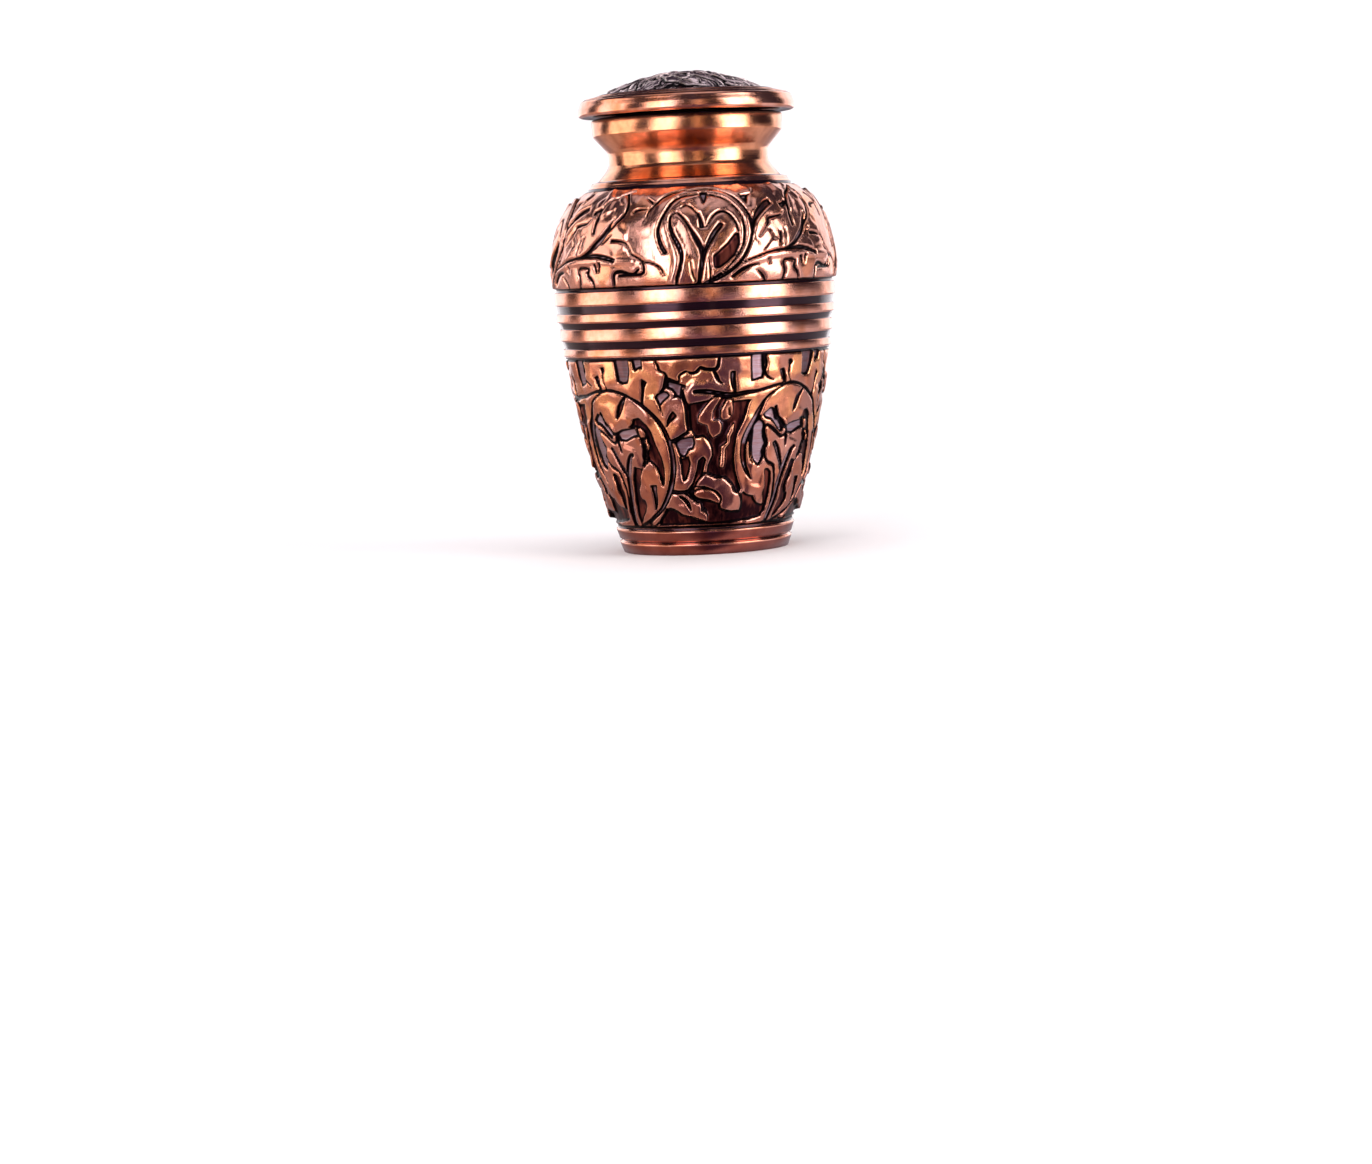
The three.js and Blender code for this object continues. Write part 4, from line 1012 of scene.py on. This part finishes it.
def build_camera():
    data = bpy.data.cameras.new("camera")
    data.lens = LENS
    data.sensor_width = SENSOR
    data.clip_start = 0.01
    camera = add_object("camera", data)
    tilt = Matrix.Rotation(math.radians(90 - CAMERA_PITCH), 4, "X")
    roll = Matrix.Rotation(math.radians(CAMERA_ROLL), 4, "Z")
    place = Matrix.Translation((-CAMERA_LEFT * MM, -CAMERA_DISTANCE * MM, CAMERA_HEIGHT * MM))
    camera.matrix_world = place @ tilt @ roll
    bpy.context.scene.camera = camera


# Softboxes: name, azimuth and elevation in degrees, distance, width and height in metres, colour, radiance
SOFTBOXES = [
    ("front_left", -28, 12, 1.2, 0.6, 1.1, (1.0, 0.93, 0.95), 4.6),
    ("side_left", -88, 12, 1.2, 0.9, 1.1, (1.0, 0.88, 0.80), 2.2),
    ("side_right", 60, 12, 1.2, 0.72, 1.1, (1.0, 0.94, 0.90), 5.6),
    ("strip_right", 13, 12, 1.2, 0.05, 0.9, (1.0, 0.75, 0.5), 3.6),
    ("back_left", -150, 14, 1.3, 1.0, 0.9, (1.0, 0.96, 0.98), 1.6),
    ("back_right", 150, 14, 1.3, 1.0, 0.9, (1.0, 0.96, 0.98), 1.6),
    ("ceiling", 0, 86, 1.2, 1.2, 1.2, (0.96, 0.94, 1.0), 0.8),
]
PAPER_WASH = ("paper_wash", 0, 80, 2.4, 3.2, 3.2, (1.0, 1.0, 1.0), 1.5)

# Glow below the horizon by azimuth in degrees, 0 towards the camera
AIR_GLOW = [
    (-180, (0.40, 0.34, 0.38)), (-95, (0.72, 0.54, 0.47)), (-55, (0.78, 0.60, 0.54)),
    (-24, (0.42, 0.27, 0.27)), (6, (0.10, 0.05, 0.12)), (32, (0.20, 0.14, 0.21)),
    (56, (1.2, 1.02, 1.0)), (100, (0.85, 0.76, 0.80)), (180, (0.40, 0.34, 0.38)),
]
AIR_ABOVE = (0.035, 0.024, 0.04)
# The glow gives way to the dark air between these rises of the line of sight
GLOW_LOW = -0.12
GLOW_HIGH = 0.03


def add_softbox(name, azimuth, elevation, distance, width, height, color, radiance):
    """An area light that faces the urn; azimuth 0 is towards the camera, positive to its right."""
    data = bpy.data.lights.new(name, "AREA")
    data.shape = "RECTANGLE"
    data.size = width
    data.size_y = height
    data.color = color
    data.energy = radiance * math.pi * width * height
    light = add_object(name, data)
    a, e = math.radians(azimuth), math.radians(elevation)
    aim = Vector((0, 0, URN_HEIGHT / 2 * MM))
    away = Vector((math.sin(a) * math.cos(e), -math.cos(a) * math.cos(e), math.sin(e)))
    light.location = aim + away * distance
    light.rotation_mode = "QUATERNION"
    light.rotation_quaternion = away.to_track_quat("Z", "Y")
    return light


def build_lights():
    for softbox in SOFTBOXES:
        add_softbox(*softbox)
    add_softbox(*PAPER_WASH).visible_glossy = False
    build_air()
    bpy.context.scene.view_settings.view_transform = "Standard"


def build_air():
    """Dim studio air: nearly dark above, with a glow below the horizon that is brighter to the sides."""
    world = bpy.data.worlds.new("studio_air")
    bpy.context.scene.world = world
    n = Nodes(world)
    way = n.parts("Generated")
    azimuth = n.math("ARCTAN2", way["X"], n.times(way["Y"], -1))
    glow = n.add("ShaderNodeValToRGB")
    n.feed(glow.inputs["Fac"], n.range(azimuth, From_Min=-math.pi, From_Max=math.pi))
    elements = glow.color_ramp.elements
    while len(elements) < len(AIR_GLOW):
        elements.new(0.5)
    for element, (degrees, color) in zip(elements, AIR_GLOW):
        element.position = 0.5 + degrees / 360
        element.color = (*color, 1)
    rise = n.range(way["Z"], From_Min=GLOW_LOW, From_Max=GLOW_HIGH)
    air = n.mix(rise, glow.outputs["Color"], AIR_ABOVE)
    n.feed(n.tree.nodes["Background"].inputs["Color"], air)


materials = {
    "lower": carved_copper("antique_copper", GOLDEN, RUSSET, ROSE, 0.5, 0.08),
    "upper": carved_copper("rose_copper", COPPER, ROSE, ROSE, 0.3, 0.03),
    # Painted reflection: the dome's copper takes mauve and silver-grey tones that stand in for the grey it
    # reflects
    "dome": carved_copper("copper_painted_silver_reflection", MAUVE, SILVER, PALE_SILVER, 0.1, 0.05),
    "polished": polished_copper("polished_copper", DEEP, ROSE),
    # Painted reflection: a warmer, golden copy of the polished copper for the neck and collar
    "neck": polished_copper("golden_copper_painted_reflection", AMBER, COPPER_GOLD),
    # Painted dark reflection: a darker copy of the polished copper for the foot bands
    "foot": polished_copper("oxblood_painted_shade_copper", OXBLOOD, STAIN),
    "groove": groove_lacquer_and_shadow(),
    "inside": bare_inside(),
}
body = build_body(materials)
lid = build_lid(materials)
for piece, node, slot in ((body, "urn_body", "body_copper"), (lid, "lid", "lid_copper")):
    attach(piece, "root")
    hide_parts(node)
build_stage()
build_camera()
build_lights()
